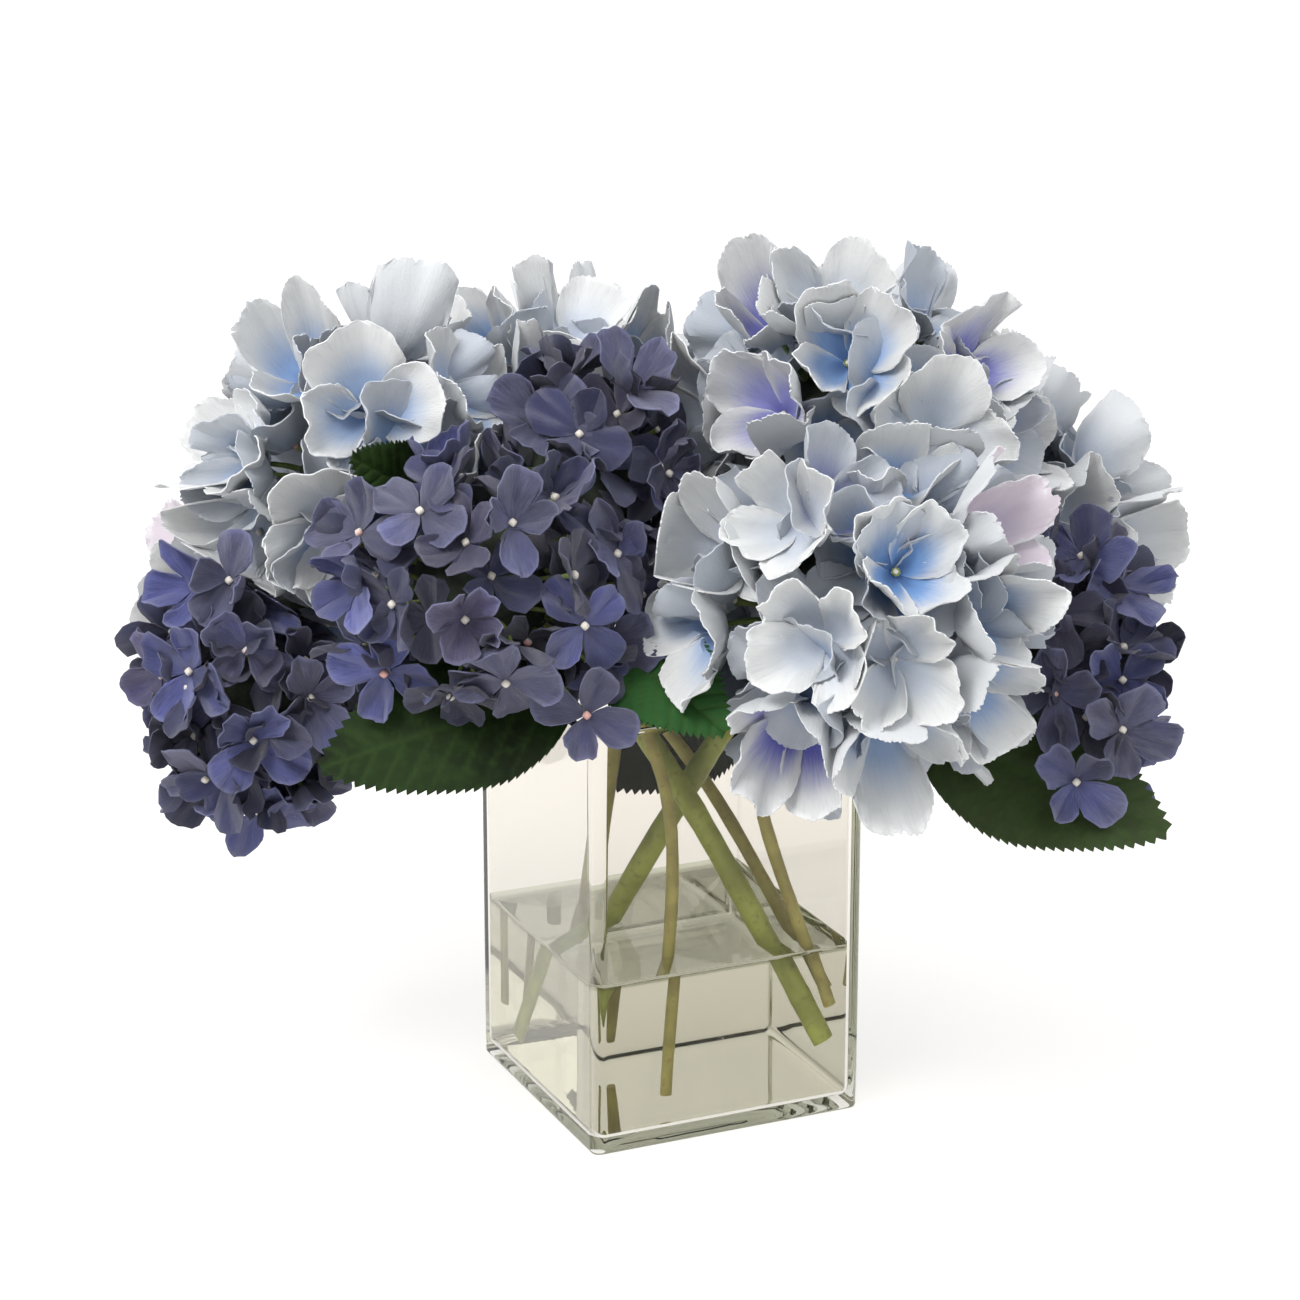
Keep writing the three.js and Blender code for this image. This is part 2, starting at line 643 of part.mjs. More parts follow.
// Materials
const finishes = {
  glass: { color: 0xe9ece6, roughness: 0.03, transparent: true, opacity: 0.35 },
  water: { color: 0xe4e6dc, roughness: 0.02, transparent: true, opacity: 0.45 },
  stem: { color: 0x76803a, roughness: 0.6 },
  leaf: { color: 0x2c4a22, roughness: 0.7 },
  pale: { color: KINDS.pale.color, roughness: 0.85 },
  dark: { color: KINDS.dark.color, roughness: 0.85 },
};
const materials = Object.fromEntries(
  Object.entries(finishes).map(([name, finish]) => [name, new THREE.MeshStandardMaterial(finish)]),
);

// Assembly
function meshOf(name, solid, material) {
  const mesh = new THREE.Mesh(geometryOf(solid), material);
  mesh.name = name;
  return mesh;
}

const bouquet = new THREE.Group();
bouquet.rotation.z = BOUQUET_TURN;
const stemRooms = STEMS.map((stem) => stemSolid(stem, GAP));
const leafRooms = LEAVES.map((leaf) => leafSolid(leaf, GAP));
for (const stem of STEMS) {
  bouquet.add(meshOf(stem.name, stemSolid(stem, 0), materials.stem));
}
for (const leaf of LEAVES) {
  const solid = trimmed(leafSolid(leaf, 0), [vaseRoom(), ...stemRooms]);
  bouquet.add(meshOf(leaf.name, solid, materials.leaf));
}
for (const head of HEADS) {
  const solid = trimmed(headSolid(head), [...stemRooms, ...leafRooms]);
  bouquet.add(meshOf(head.name, solid, materials[head.kind]));
}

const root = new THREE.Group();
root.add(meshOf("vase", vaseSolid(), materials.glass));
root.add(meshOf("water", waterSolid(), materials.water));
root.add(bouquet);

export default root;
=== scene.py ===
"""Looks for hydrangeas in a square glass vase: fine petals, stalks, leaves, stems, glass and water.

Lengths in this script are in millimetres. The flowers are laid out in a frame turned about Z, with X to the
viewer's right and Y away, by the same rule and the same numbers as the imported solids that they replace.
"""
import math
import random
from dataclasses import dataclass, replace

import bpy
import numpy as np
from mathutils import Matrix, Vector


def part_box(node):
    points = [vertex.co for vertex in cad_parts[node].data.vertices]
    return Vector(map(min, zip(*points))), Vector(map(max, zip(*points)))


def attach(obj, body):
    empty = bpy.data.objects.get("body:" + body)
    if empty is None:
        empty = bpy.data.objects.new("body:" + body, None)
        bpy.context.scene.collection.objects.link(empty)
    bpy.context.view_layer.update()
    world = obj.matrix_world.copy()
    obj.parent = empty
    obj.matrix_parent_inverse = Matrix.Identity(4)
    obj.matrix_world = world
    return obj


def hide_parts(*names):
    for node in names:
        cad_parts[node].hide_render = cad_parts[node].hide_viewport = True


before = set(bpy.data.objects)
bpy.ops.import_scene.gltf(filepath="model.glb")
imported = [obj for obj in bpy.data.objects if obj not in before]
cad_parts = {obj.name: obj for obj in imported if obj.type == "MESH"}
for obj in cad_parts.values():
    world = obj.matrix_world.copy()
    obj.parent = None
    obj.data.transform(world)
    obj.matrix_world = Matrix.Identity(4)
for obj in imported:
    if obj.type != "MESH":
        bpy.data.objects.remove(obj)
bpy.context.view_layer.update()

MM = 0.001
BODY = "root"
BOUQUET_TURN = math.radians(-24.2)
GAP = 0.3


@dataclass
class Kind:
    """A kind of flower. A petal's measures are shares of its reach, but for those in mm."""

    reach: float  # a petal's length, in mm
    seat: float  # how far out the outer florets sit, as a share of the head's radius
    core: float  # the knot of buds that carries them, as such a share
    cup: float  # how far a petal rises
    lip: float  # how far its rim bends back
    spare: float  # how near to a placed floret the spiral may put one, in spacings
    stalk: float  # its radius in mm
    half_angle: float  # a petal spans twice this
    fullness: float  # a petal is rounder where this is less
    thick: float  # a petal's, in mm
    bead: float  # the eye's radius in mm
    tooth: float  # at a petal's rim
    fans: tuple  # strips across a petal, for fine and coarse florets
    split: tuple  # rim points for each strip
    rings: tuple  # where the rows of points are along a petal
    bend: tuple  # least and most bend across a petal
    rolled: float  # the chance that a petal rolls up
    lean: float  # how far petals lean up or down
    crease: float  # depth of the fold along a petal's middle
    nod: float  # how far a floret may turn from its spoke
    apart: float  # room between petals that lie on each other
    under: list  # deeper florets: how much further in, size, how many for each outer one, and 1 if coarse
    slack: float  # how far in mm a petal may pass the wall halfway to the next floret


@dataclass
class Head:
    """A flower head. A spiral spreads florets over its dome, round those that are placed one by one."""

    kind: str
    centre: tuple
    axis: tuple  # that the dome opens along
    radius: float
    dome: float  # how far round the axis the florets go, in degrees
    count: int  # that the spiral spreads, before it makes room for placed ones
    seed: int
    placed: tuple = ()  # (right, up, roll in degrees, dye) of each
    stretch: tuple = (1, 1, 1)  # of the ball that the florets sit on


@dataclass
class Floret:
    """One flower of a head"""

    centre: np.ndarray
    direction: np.ndarray  # from the head's centre
    facing: np.ndarray
    roll: float
    cup: float
    reach: float
    dye: str
    walls: list  # (normal, limit) of each flat wall that its petals bend back from
    placed: bool = False
    bend: float = 0.0
    lean: float = 0.0


@dataclass
class Stem:
    """A stem: its route from the water to its fork, and that of a branch to each head that it carries"""

    radius: float
    route: list
    branches: dict


@dataclass
class Leaf:
    """A leaf on a stem, or on the branch of it that goes to a head"""

    stem: str
    base: tuple  # where the stalk meets the blade
    tip: tuple
    face: tuple  # the way that the blade looks
    along: float  # where the stalk springs, as a share of the stem or branch
    width: float
    droop: float  # of the tip
    fold: float  # how far the blade folds up from its rib
    branch: str = ""
    light: float = 0.0  # painted light and shade: above 0 lighter and greener, below 0 darker
    wan: float = 0.0  # how greyish it is


KINDS = {
    "pale": Kind(
        reach=37, seat=0.68, core=0.42, cup=0.7, lip=0.22, spare=0.85, stalk=1.1,
        half_angle=math.radians(68), fullness=0.42, thick=0.42, bead=1.4, tooth=0.018,
        fans=(18, 12), split=(3, 2), rings=([0.2, 0.42, 0.64, 0.82, 0.94, 1], [0.35, 0.7, 0.92, 1]),
        bend=(0.35, 1.15), rolled=0.22, lean=0.16, crease=0, nod=0.4, apart=0.03,
        under=[(0.05, 0.9, 0.9, 0), (0.17, 0.75, 1.0, 1)], slack=2,
    ),
    "dark": Kind(
        reach=22, seat=0.76, core=0.45, cup=0.16, lip=0.1, spare=0.72, stalk=0.8,
        half_angle=math.radians(47), fullness=0.32, thick=0.4, bead=1.4, tooth=0.006,
        fans=(12, 8), split=(1, 1), rings=([0.2, 0.45, 0.7, 0.9, 1], [0.35, 0.8, 1]),
        bend=(-0.4, 1.2), rolled=0.2, lean=0.5, crease=0.05, nod=0.6, apart=0.03,
        under=[(0.04, 0.9, 1.1, 0), (0.18, 0.85, 1.3, 1)], slack=5,
    ),
}
STALK_SINK = 4
FACING_JITTER = 0.28
FACING_VIEWER = (0, -0.5, 0.1)
SIZE_SPREAD = 0.2
CUP_SPREAD = 0.3
ROLL_STEP = 1.1
BRIM = 0.98
WALL_MARGIN = 1.4
CELL_MARGIN = 4
LEAST_SEAT = 0.74
GOLDEN_ANGLE = math.pi * (3 - math.sqrt(5))

HEADS = {
    "pale_front": Head(
        "pale", (60, -45, 188), (0.45, -0.6, 0.66), radius=68, dome=112, count=15, seed=11, placed=[
        (-18, 36, 20, "white"), (13, 25, 50, "blue"), (-44, 26, 70, "white"), (-44, 0, 10, "blue"),
        (-10, 5, 35, "white"), (38, 8, 15, "blue"), (48, 34, 60, "pink"), (-18, -28, 40, "violet"),
        (8, -25, 5, "blue"), (34, -14, 30, "blue"), (12, -2, 60, "white"),
    ]),
    "pale_top": Head(
        "pale", (62, 22, 230), (0.25, -0.1, 0.95), radius=73, dome=118, count=17, seed=23, placed=[
        (-24, 19, 40, "violet"), (-34, 54, 15, "violet"), (-2, 36, 30, "blue"), (38, 27, 10, "violet"),
        (24, 12, 75, "white"), (54, 2, 35, "violet"), (60, -18, 50, "blue"), (-54, 14, 5, "white"),
        (4, -8, 55, "white"), (-8, 46, 30, "white"),
    ]),
    "pale_left": Head(
        "pale", (-103, 15, 218), (-0.55, -0.1, 0.8), radius=63, dome=118, count=14, seed=31, placed=[
        (2, 30, 10, "blue"), (-21, 41, 55, "blue"), (-46, 10, 30, "white"), (-37, -14, 70, "white"),
        (-10, -6, 25, "white"), (34, 32, 60, "blue"),
    ]),
    "pale_mid": Head(
        "pale", (-40, 64, 218), (-0.1, 0.2, 0.97), radius=59, dome=112, count=12, seed=43, placed=[
        (-22, 34, 20, "blue"), (6, 42, 65, "white"), (34, 32, 40, "blue"),
    ]),
    "pale_rear_left": Head(
        "pale", (-130, 56, 153), (-0.8, 0.45, -0.1), radius=57, dome=105, count=11, seed=53,
    ),
    "pale_rear_right": Head(
        "pale", (118, 61, 184), (0.8, 0.45, 0.35), radius=59, dome=108, count=11, seed=61,
    ),
    "pale_rear": Head("pale", (18, 96, 184), (0.05, 0.9, 0.4), radius=61, dome=112, count=13, seed=71),
    "dark_mid": Head(
        "dark", (-27, -4, 224), (-0.05, -0.8, 0.55), radius=50, dome=112, count=16, seed=83, placed=[
        (-11, -15, 20, "slate"), (-14, 26, 60, "slate"), (14, 34, 35, "slate"), (27, 8, 5, "slate"),
        (-32, 6, 45, "slate"), (18, -30, 70, "slate"),
    ]),
    "dark_front": Head(
        "dark", (-62, -55, 199), (-0.2, -0.9, 0.35), radius=54, dome=114, count=17, seed=97,
        stretch=(1.15, 1, 1), placed=[
        (30, -4, 40, "indigo"), (8, -21, 15, "slate"), (-27, -22, 75, "indigo"), (-3, 2, 60, "plum"),
        (-34, 8, 30, "indigo"), (36, -34, 12, "indigo"), (-16, 32, 50, "slate"), (10, 30, 5, "slate"),
        (-44, 28, 65, "slate"),
    ]),
    "dark_left": Head(
        "dark", (-144, -10, 152), (-0.96, 0.1, -0.25), radius=47, dome=118, count=18, seed=101,
        stretch=(0.9, 0.9, 1.25), placed=[
        (8, 30, 42, "indigo"), (-20, 10, 70, "indigo"), (25, 2, 20, "slate"), (4, -8, 55, "indigo"),
        (-22, 34, 10, "indigo"), (-16, -22, 35, "slate"), (2, -42, 60, "indigo"), (20, -30, 5, "slate"),
    ]),
    "dark_right": Head(
        "dark", (133, -13, 157), (0.96, 0.1, -0.25), radius=46, dome=118, count=18, seed=113,
        stretch=(0.9, 0.9, 1.3), placed=[
        (0, -33, 30, "slate"), (8, 36, 65, "indigo"), (-4, 2, 10, "slate"), (22, 4, 45, "indigo"),
        (-20, 16, 75, "indigo"), (22, 26, 20, "indigo"), (18, -26, 55, "indigo"),
    ]),
    "dark_rear_left": Head("dark", (-58, 98, 152), (-0.35, 0.9, 0), radius=47, dome=112, count=13, seed=127),
    "dark_rear_right": Head(
        "dark", (80, 104, 146), (0.45, 0.85, -0.05), radius=48, dome=112, count=13, seed=131,
    ),
}

# Florets that hang out of a head on longer stalks: where they are, which way they look, and their dye
EXTRAS = {
    "dark_front": [
        ((-27, -84, 165), (0.1, -0.95, 0.2), "slate"), ((-18, -56, 180), (0.35, -0.9, 0.1), "slate"),
        ((-9, -44, 194), (0.3, -0.8, 0.4), "plum"),
    ],
    "dark_left": [((-148, -30, 195), (-0.25, -0.85, 0.45), "slate")],
    "dark_right": [
        ((136, -58, 133), (0.05, -0.9, 0.3), "slate"), ((152, -48, 148), (0.4, -0.8, 0.1), "slate"),
    ],
}

# Dyes: how far the throat's colour is from blue, or the petal's from slate, to violet, how strong it is,
# how pink the petal is, and how much more cupped its florets are
DYES = {
    "blue": (0.05, 1.0, 0.0, 0.32), "violet": (0.95, 1.0, 0.0, 0.42), "white": (0.3, 0.3, 0.0, 0.05),
    "pink": (0.8, 0.45, 1.0, 0.25), "slate": (0.15, 1.0, 0.0, 0.15), "indigo": (0.85, 1.0, 0.0, 0.15),
    "plum": (0.4, 1.0, 1.0, 0.15),
}
DYES_DRAWN = {
    "pale": ["blue", "blue", "blue", "violet", "violet", "white", "white", "pink"],
    "dark": ["slate", "slate", "indigo", "indigo", "plum"],
}

STEMS = {
    "stem_front": Stem(
        radius=2.3, route=[(55, -19, 38), (31, -24, 114), (28, -28, 146)],
        branches={"pale_front": [(38, -36, 166)], "dark_right": [(62, -20, 162), (100, -8, 160)]},
    ),
    "stem_top": Stem(
        radius=4, route=[(-46, 11, 13), (6, -3, 112), (30, 4, 150)],
        branches={"pale_top": [(50, 12, 188)], "pale_rear_right": [(62, 20, 168), (92, 36, 178)]},
    ),
    "stem_left": Stem(
        radius=4, route=[(53, -20.5, 25), (6, -14, 112), (-22, -2, 152)],
        branches={"pale_left": [(-54, 4, 188)], "pale_rear_left": [(-54, 14, 170), (-94, 36, 162)]},
    ),
    "stem_mid": Stem(
        radius=2.8, route=[(-33, 27, 14), (-20, 24, 116), (-14, 30, 150)],
        branches={
            "pale_mid": [(-24, 42, 182)], "pale_rear": [(-2, 56, 170)], "dark_rear_right": [(30, 50, 162)],
        },
    ),
    "stem_dark_front": Stem(
        radius=2.2, route=[(-4, -32, 11), (0, -28, 110), (-12, -24, 152)],
        branches={"dark_mid": [(-18, -16, 184)], "dark_front": [(-32, -36, 174)]},
    ),
    "stem_dark_left": Stem(
        radius=2.4, route=[(53, -12, 42), (14, 9, 108), (-20, 18, 152)],
        branches={"dark_left": [(-62, 6, 160), (-104, -2, 158)], "dark_rear_left": [(-36, 58, 160)]},
    ),
}
THICK_FROM = 3.5
STEM_SIDES = 16
STEM_STEPS = 16
BRANCH_SHARE = 0.72
BRANCH_SINK = 0.16
SOCKET_LEVEL = 0.45

LEAVES = {
    "leaf_front_left": Leaf(
        "stem_dark_front", (-31, -58, 166), (-114, -84, 148), (0.1, -0.75, 0.66),
        along=0.97, width=50, droop=8, fold=3, light=-0.2,
    ),
    "leaf_front_mid": Leaf(
        "stem_dark_front", (-22, -52, 181), (18, -82, 160), (-0.15, -0.62, 0.77),
        along=0.88, width=36, droop=7, fold=3, light=0.6,
    ),
    "leaf_in_mouth": Leaf(
        "stem_top", (26, 38, 142), (-20, 36, 99), (0.05, -0.98, 0.2),
        along=0.93, width=44, droop=2, fold=2, light=-0.75,
    ),
    "leaf_front_right": Leaf(
        "stem_front", (84, -34, 142), (168, -56, 116), (0.1, -0.72, 0.68),
        branch="dark_right", along=0.3, width=54, droop=8, fold=3, wan=0.35,
    ),
    "leaf_left_high": Leaf(
        "stem_left", (-77, -20, 218), (-103, -48, 242), (-0.2, -0.8, 0.5),
        branch="pale_left", along=0.55, width=26, droop=4, fold=2,
    ),
    "leaf_rear_left": Leaf(
        "stem_dark_left", (-66, 76, 200), (-116, 128, 200), (-0.3, 0.35, 0.88),
        branch="dark_rear_left", along=0.5, width=46, droop=10, fold=3,
    ),
    "leaf_rear_mid": Leaf(
        "stem_mid", (26, 84, 134), (22, 150, 104), (0, 0.6, 0.8),
        branch="dark_rear_right", along=0.4, width=50, droop=8, fold=3,
    ),
    "leaf_rear_right": Leaf(
        "stem_top", (118, 76, 142), (176, 110, 118), (0.4, 0.4, 0.82),
        branch="pale_rear_right", along=0.75, width=48, droop=8, fold=3,
    ),
}
LEAF_TEETH = 30
LEAF_TOOTH = 1.5
LEAF_THICK = 0.7
LEAF_WAVE = 1.2
LEAF_WAVE_TURNS = 11
LEAF_CREST = 0.6
LEAF_FULLNESS = 0.8
LEAF_COLUMNS = 10
LEAF_ENDS = (0.004, 0.996)
LEAF_LEAST = 0.8
LEAF_SAW = [0.0, 0.55, 1.0]
LEAF_VEINS = 8
VEIN_SLANT = 0.9
VEIN_WIDTH = 0.9
VEIN_DEPTH = 0.35
VEIN_FROM = 0.06
VEIN_FADE = (0.98, 0.6)
RIB_WIDTH = 1.0
RIB_DEPTH = 0.5
LEAF_PUFF = 0.5
LEAF_STALK_SIDES = 10
LEAF_STALK_STEPS = 10
LEAF_STALK = 1.3
LEAF_STALK_SINK = 5
LEAF_STALK_DROP = 0.4
LEAF_STALK_RISE = 3
LEAF_STALK_KNEE = 0.6
LEAF_NEAR = 45
LEAF_ROOM = 2.0
OFF_EDGE = (5, 1.5)
OFF_BASE = (-0.1, 0)
OFF_TIP = (1.1, 1.02)
OFF_DEPTH = (-16, -9)


def unit(v):
    v = np.asarray(v, float)
    return v / np.linalg.norm(v)


def beside(direction):
    """A direction square to the one given"""
    return unit(np.cross(direction, (0, 0, 1) if abs(direction[2]) < 0.9 else (0, 1, 0)))


def around_z(angle):
    """The matrix that turns rows of points about Z"""
    c, s = math.cos(angle), math.sin(angle)
    return np.array([[c, s, 0], [-s, c, 0], [0, 0, 1]])


def circle(sides):
    """The angles of the corners of a ring"""
    return np.linspace(0, 2 * math.pi, sides, endpoint=False)


def sway(chance, most):
    """A random amount, up to that much either way"""
    return chance.uniform(-most, most)


def jitter(chance, most, count=3):
    return np.array([sway(chance, most) for _ in range(count)])


def smooth(x, low, high):
    """0 below low and 1 above high, with a soft step between. It also takes high below low."""
    t = np.clip((x - low) / (high - low), 0, 1)
    return t * t * (3 - 2 * t)


def linear(red, green, blue):
    """A colour given as it is seen, from 0 to 255, as the shaders take it"""
    shares = [value / 255 for value in (red, green, blue)]
    return tuple(share / 12.92 if share < 0.04 else ((share + 0.055) / 1.055) ** 2.4 for share in shares)


def linked(name, data):
    """A new object in the scene"""
    thing = bpy.data.objects.new(name, data)
    bpy.context.scene.collection.objects.link(thing)
    return thing


class Surface:
    """The triangles of one piece, gathered part by part, with two vectors at each point for its materials"""

    def __init__(self):
        self.points, self.faces, self.petal, self.dye, self.slots = [], [], [], [], []
        self.count = 0

    def add(self, points, faces, petal=(0, 0, 0), dye=(0, 0, 0), slot=0):
        self.points.append(points)
        self.faces.append(np.asarray(faces) + self.count)
        self.petal.append(np.broadcast_to(petal, points.shape))
        self.dye.append(np.broadcast_to(dye, points.shape))
        self.slots.append(np.full(len(faces), slot))
        self.count += len(points)

    def build(self, name, materials, turn=BOUQUET_TURN, sharp=50):
        points = np.concatenate(self.points) * MM @ around_z(turn)
        faces = np.concatenate(self.faces).astype(np.int32)
        mesh = bpy.data.meshes.new(name)
        mesh.vertices.add(len(points))
        mesh.vertices.foreach_set("co", points.ravel())
        mesh.loops.add(faces.size)
        mesh.loops.foreach_set("vertex_index", faces.ravel())
        mesh.polygons.add(len(faces))
        mesh.polygons.foreach_set("loop_start", np.arange(0, faces.size, 3, dtype=np.int32))
        mesh.polygons.foreach_set("material_index", np.concatenate(self.slots).astype(np.int32))
        for key, parts in (("petal", self.petal), ("dye", self.dye)):
            values = mesh.attributes.new(key, "FLOAT_VECTOR", "POINT")
            values.data.foreach_set("vector", np.concatenate(parts).astype(np.float32).ravel())
        mesh.update(calc_edges=True)
        mesh.shade_smooth()
        mesh.set_sharp_from_angle(angle=math.radians(sharp))
        for material in materials:
            mesh.materials.append(material)
        return linked(name, mesh)


# Sheets, tubes and loops
def point_normals(points, faces):
    a, b, c = (points[faces[:, i]] for i in range(3))
    across = np.cross(b - a, c - a)
    normals = np.zeros_like(points)
    for i in range(3):
        np.add.at(normals, faces[:, i], across)
    return normals / np.maximum(np.linalg.norm(normals, axis=1, keepdims=True), 1e-9)


def sheet(points, faces, border, thick):
    """A closed sheet round its middle surface, with a face on each side and a rim along the border"""
    normals = point_normals(points, faces)
    both = np.concatenate([points + normals * thick / 2, points - normals * thick / 2])
    n = len(points)
    a, b = np.array(border), np.roll(border, -1)
    rim = np.concatenate([np.stack([b, a, a + n], 1), np.stack([b, a + n, b + n], 1)])
    return both, np.concatenate([faces, faces[:, ::-1] + n, rim])


def curve_through(points, steps):
    """Points along the centripetal Catmull-Rom curve through the given points, steps for each span"""
    p = np.asarray(points, float)
    p = np.concatenate([[2 * p[0] - p[1]], p, [2 * p[-1] - p[-2]]])
    found = []
    for i in range(1, len(p) - 2):
        d = [max(np.linalg.norm(p[i + k] - p[i + k - 1]) ** 0.5, 1e-4) for k in range(3)]
        t1 = (p[i] - p[i - 1]) / d[0] - (p[i + 1] - p[i - 1]) / (d[0] + d[1]) + (p[i + 1] - p[i]) / d[1]
        t2 = (p[i + 1] - p[i]) / d[1] - (p[i + 2] - p[i]) / (d[1] + d[2]) + (p[i + 2] - p[i + 1]) / d[2]
        t1, t2 = t1 * d[1], t2 * d[1]
        t = np.linspace(0, 1, steps, endpoint=False)[:, None]
        gap = p[i + 1] - p[i]
        found.append(p[i] + t1 * t + (3 * gap - 2 * t1 - t2) * t**2 + (t1 + t2 - 2 * gap) * t**3)
    return np.concatenate(found + [p[-2:-1]])


def closed(loops, ends=None):
    """A closed solid from loops of equal size, with its ends at the outer loops' middles or as given"""
    ends = ends or (loops[0].mean(0), loops[-1].mean(0))
    points = np.concatenate([*loops, ends])
    size, last = len(loops[0]), len(loops) - 1
    faces = []
    for k in range(size):
        m = (k + 1) % size
        for i in range(last):
            a, b = i * size, (i + 1) * size
            faces += [(a + k, a + m, b + m), (a + k, b + m, b + k)]
        faces += [(len(points) - 2, m, k), (len(points) - 1, last * size + k, last * size + m)]
    return points, np.array(faces)


def tube(path, radii, sides):
    """A closed tube along a path, with the radius at each of its points"""
    tangents = np.gradient(path, axis=0)
    tangents /= np.linalg.norm(tangents, axis=1, keepdims=True)
    side = beside(tangents[0])
    turns = circle(sides)
    rings = []
    for spot, tangent, radius in zip(path, tangents, radii):
        side = unit(side - tangent * side.dot(tangent))
        over = np.cross(tangent, side)
        rings.append(spot + radius * (np.outer(np.cos(turns), side) + np.outer(np.sin(turns), over)))
    return closed(rings, (path[0], path[-1]))


# Where a floret stops: flat walls halfway to its neighbours, to the other heads, and just outside the vase
def wall_between(centre, head, other):
    normal = np.subtract(other.centre, centre).astype(float)
    distance = np.linalg.norm(normal)
    share = (distance**2 + head.radius**2 - other.radius**2) / (2 * distance)
    normal /= distance
    return normal, normal.dot(centre) + share - WALL_MARGIN


def room_to(wall, spot):
    return wall[1] - spot @ wall[0]


def vase_wall(spot):
    """The vase's wall, as (normal, limit), that the spot is outside of"""
    half, _, top = np.array(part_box("vase")[1]) / MM + WALL_MARGIN
    sides = np.array([(1, 0, 0), (-1, 0, 0), (0, 1, 0), (0, -1, 0)]) @ around_z(-BOUQUET_TURN)
    walls = [(-side, -half) for side in sides] + [(np.array([0, 0, -1.0]), -top)]
    return max(walls, key=lambda wall: room_to(wall, spot))


# Where a head's florets go: those placed one by one first, then a spiral over the rest of its dome
def drawer(seed):
    """A generator that gives the same numbers wherever it is written"""
    state = seed

    def draw():
        nonlocal state
        state = (state * 1664525 + 1013904223) % 4294967296
        return state / 4294967296

    return draw


def spiral(count, drop, start):
    """Directions spread evenly from the top down to that drop, as a share of the radius"""
    for i in range(count):
        level = 1 - ((i + 0.5) / count) * drop
        around = i * GOLDEN_ANGLE + start
        flat = math.sqrt(1 - level**2)
        yield flat * math.cos(around), flat * math.sin(around), level


def florets_of(head):
    """A head's outer florets, each with the walls that its petals bend back from"""
    kind = KINDS[head.kind]
    seat = head.radius * kind.seat
    draw = drawer(head.seed)
    dyes = random.Random(head.seed)
    centre = np.array(head.centre, float)
    head_walls = [wall_between(centre, head, other) for other in HEADS.values() if other is not head]
    found = []

    def add(direction, roll, towards, dye):
        lean = np.array([x + (draw() - 0.5) * 2 * FACING_JITTER for x in towards])
        size = 1 + (draw() - 0.5) * SIZE_SPREAD
        cup = kind.cup + (draw() - 0.5) * CUP_SPREAD
        spoke = direction * head.stretch
        full = np.linalg.norm(spoke) * seat
        spoke = unit(spoke)
        spot = centre + spoke * full
        for wall in head_walls:
            past = CELL_MARGIN - room_to(wall, spot)
            if past > 0:
                spot = spot - spoke * past / wall[0].dot(spoke)
        glass = vase_wall(spot)
        if np.linalg.norm(spot - centre) < full * LEAST_SEAT or room_to(glass, spot) < CELL_MARGIN:
            return
        facing, reach, eyed = unit(direction + lean), kind.reach * size, towards is FACING_VIEWER
        found.append(Floret(spot, direction, facing, roll, cup, reach, dye, [*head_walls, glass], eyed))

    placed = []
    for right, up, roll, dye in head.placed:
        far = min(1, seat * BRIM / math.hypot(right, up))
        depth = math.sqrt(seat**2 - (right * far) ** 2 - (up * far) ** 2)
        placed.append(unit((right * far, -depth, up * far)))
        add(placed[-1], math.radians(roll), FACING_VIEWER, dye)
    turn = Vector((0, 0, 1)).rotation_difference(Vector(head.axis).normalized())
    least = math.cos(math.radians(head.dome))
    spacing = math.sqrt(2 * math.pi * (1 - least) / head.count)
    for i, direction in enumerate(spiral(head.count, 1 - least, head.seed)):
        direction = np.array(turn @ Vector(direction))
        dye = dyes.choice(DYES_DRAWN[head.kind])
        if any(math.acos(min(1, p.dot(direction))) < spacing * kind.spare for p in placed):
            continue
        add(direction, (i * ROLL_STEP) % (math.pi / 2), (0, 0, 0), dye)
    for floret in found:
        for other in found:
            if other is not floret:
                normal = unit(other.centre - floret.centre)
                floret.walls.append((normal, normal.dot((other.centre + floret.centre) / 2) + kind.slack))
    return found


# Leaves: the directions that a blade is laid out in, how wide it is, and how far it stands off its chord
def leaf_frame(leaf):
    """The blade's base, its length, and its directions along, face and side"""
    base, tip = np.array(leaf.base, float), np.array(leaf.tip, float)
    length = np.linalg.norm(tip - base)
    along = (tip - base) / length
    face = np.array(leaf.face, float)
    face = unit(face - along * face.dot(along))
    return base, length, along, face, np.cross(face, along)


def leaf_half_width(leaf, share):
    return (leaf.width / 2) * np.sin(np.pi * share**LEAF_FULLNESS) ** LEAF_FULLNESS


def leaf_lift(leaf, share, out):
    out_share = np.abs(out) / (leaf.width / 2)
    lift = leaf.droop * (LEAF_CREST * share - share**2) + leaf.fold * out_share
    return lift + LEAF_WAVE * out_share * np.sin(share * LEAF_WAVE_TURNS + np.where(out > 0, 1, 0))


def off_leaves(points, spot):
    """Points moved off the blades of leaves that they would pass, to the side that the spot is on"""
    for leaf in LEAVES.values():
        base, length, along, face, side = leaf_frame(leaf)
        if np.linalg.norm(spot - base - along * length / 2) > length / 2 + LEAF_NEAR:
            continue
        share = (points - base) @ along / length
        out = (points - base) @ side
        inner = np.clip(share, 0.01, 0.99)
        height = (points - base) @ face - leaf_lift(leaf, inner, out)
        if (spot - base) @ face < 0:
            face, height = -face, -height
        past = np.abs(out) - leaf_half_width(leaf, inner)
        over = smooth(past, *OFF_EDGE) * smooth(share, *OFF_BASE) * smooth(share, *OFF_TIP)
        over = np.maximum(LEAF_ROOM - height, 0) * (over * smooth(height, *OFF_DEPTH))
        points = points + face * over[:, None]
    return points


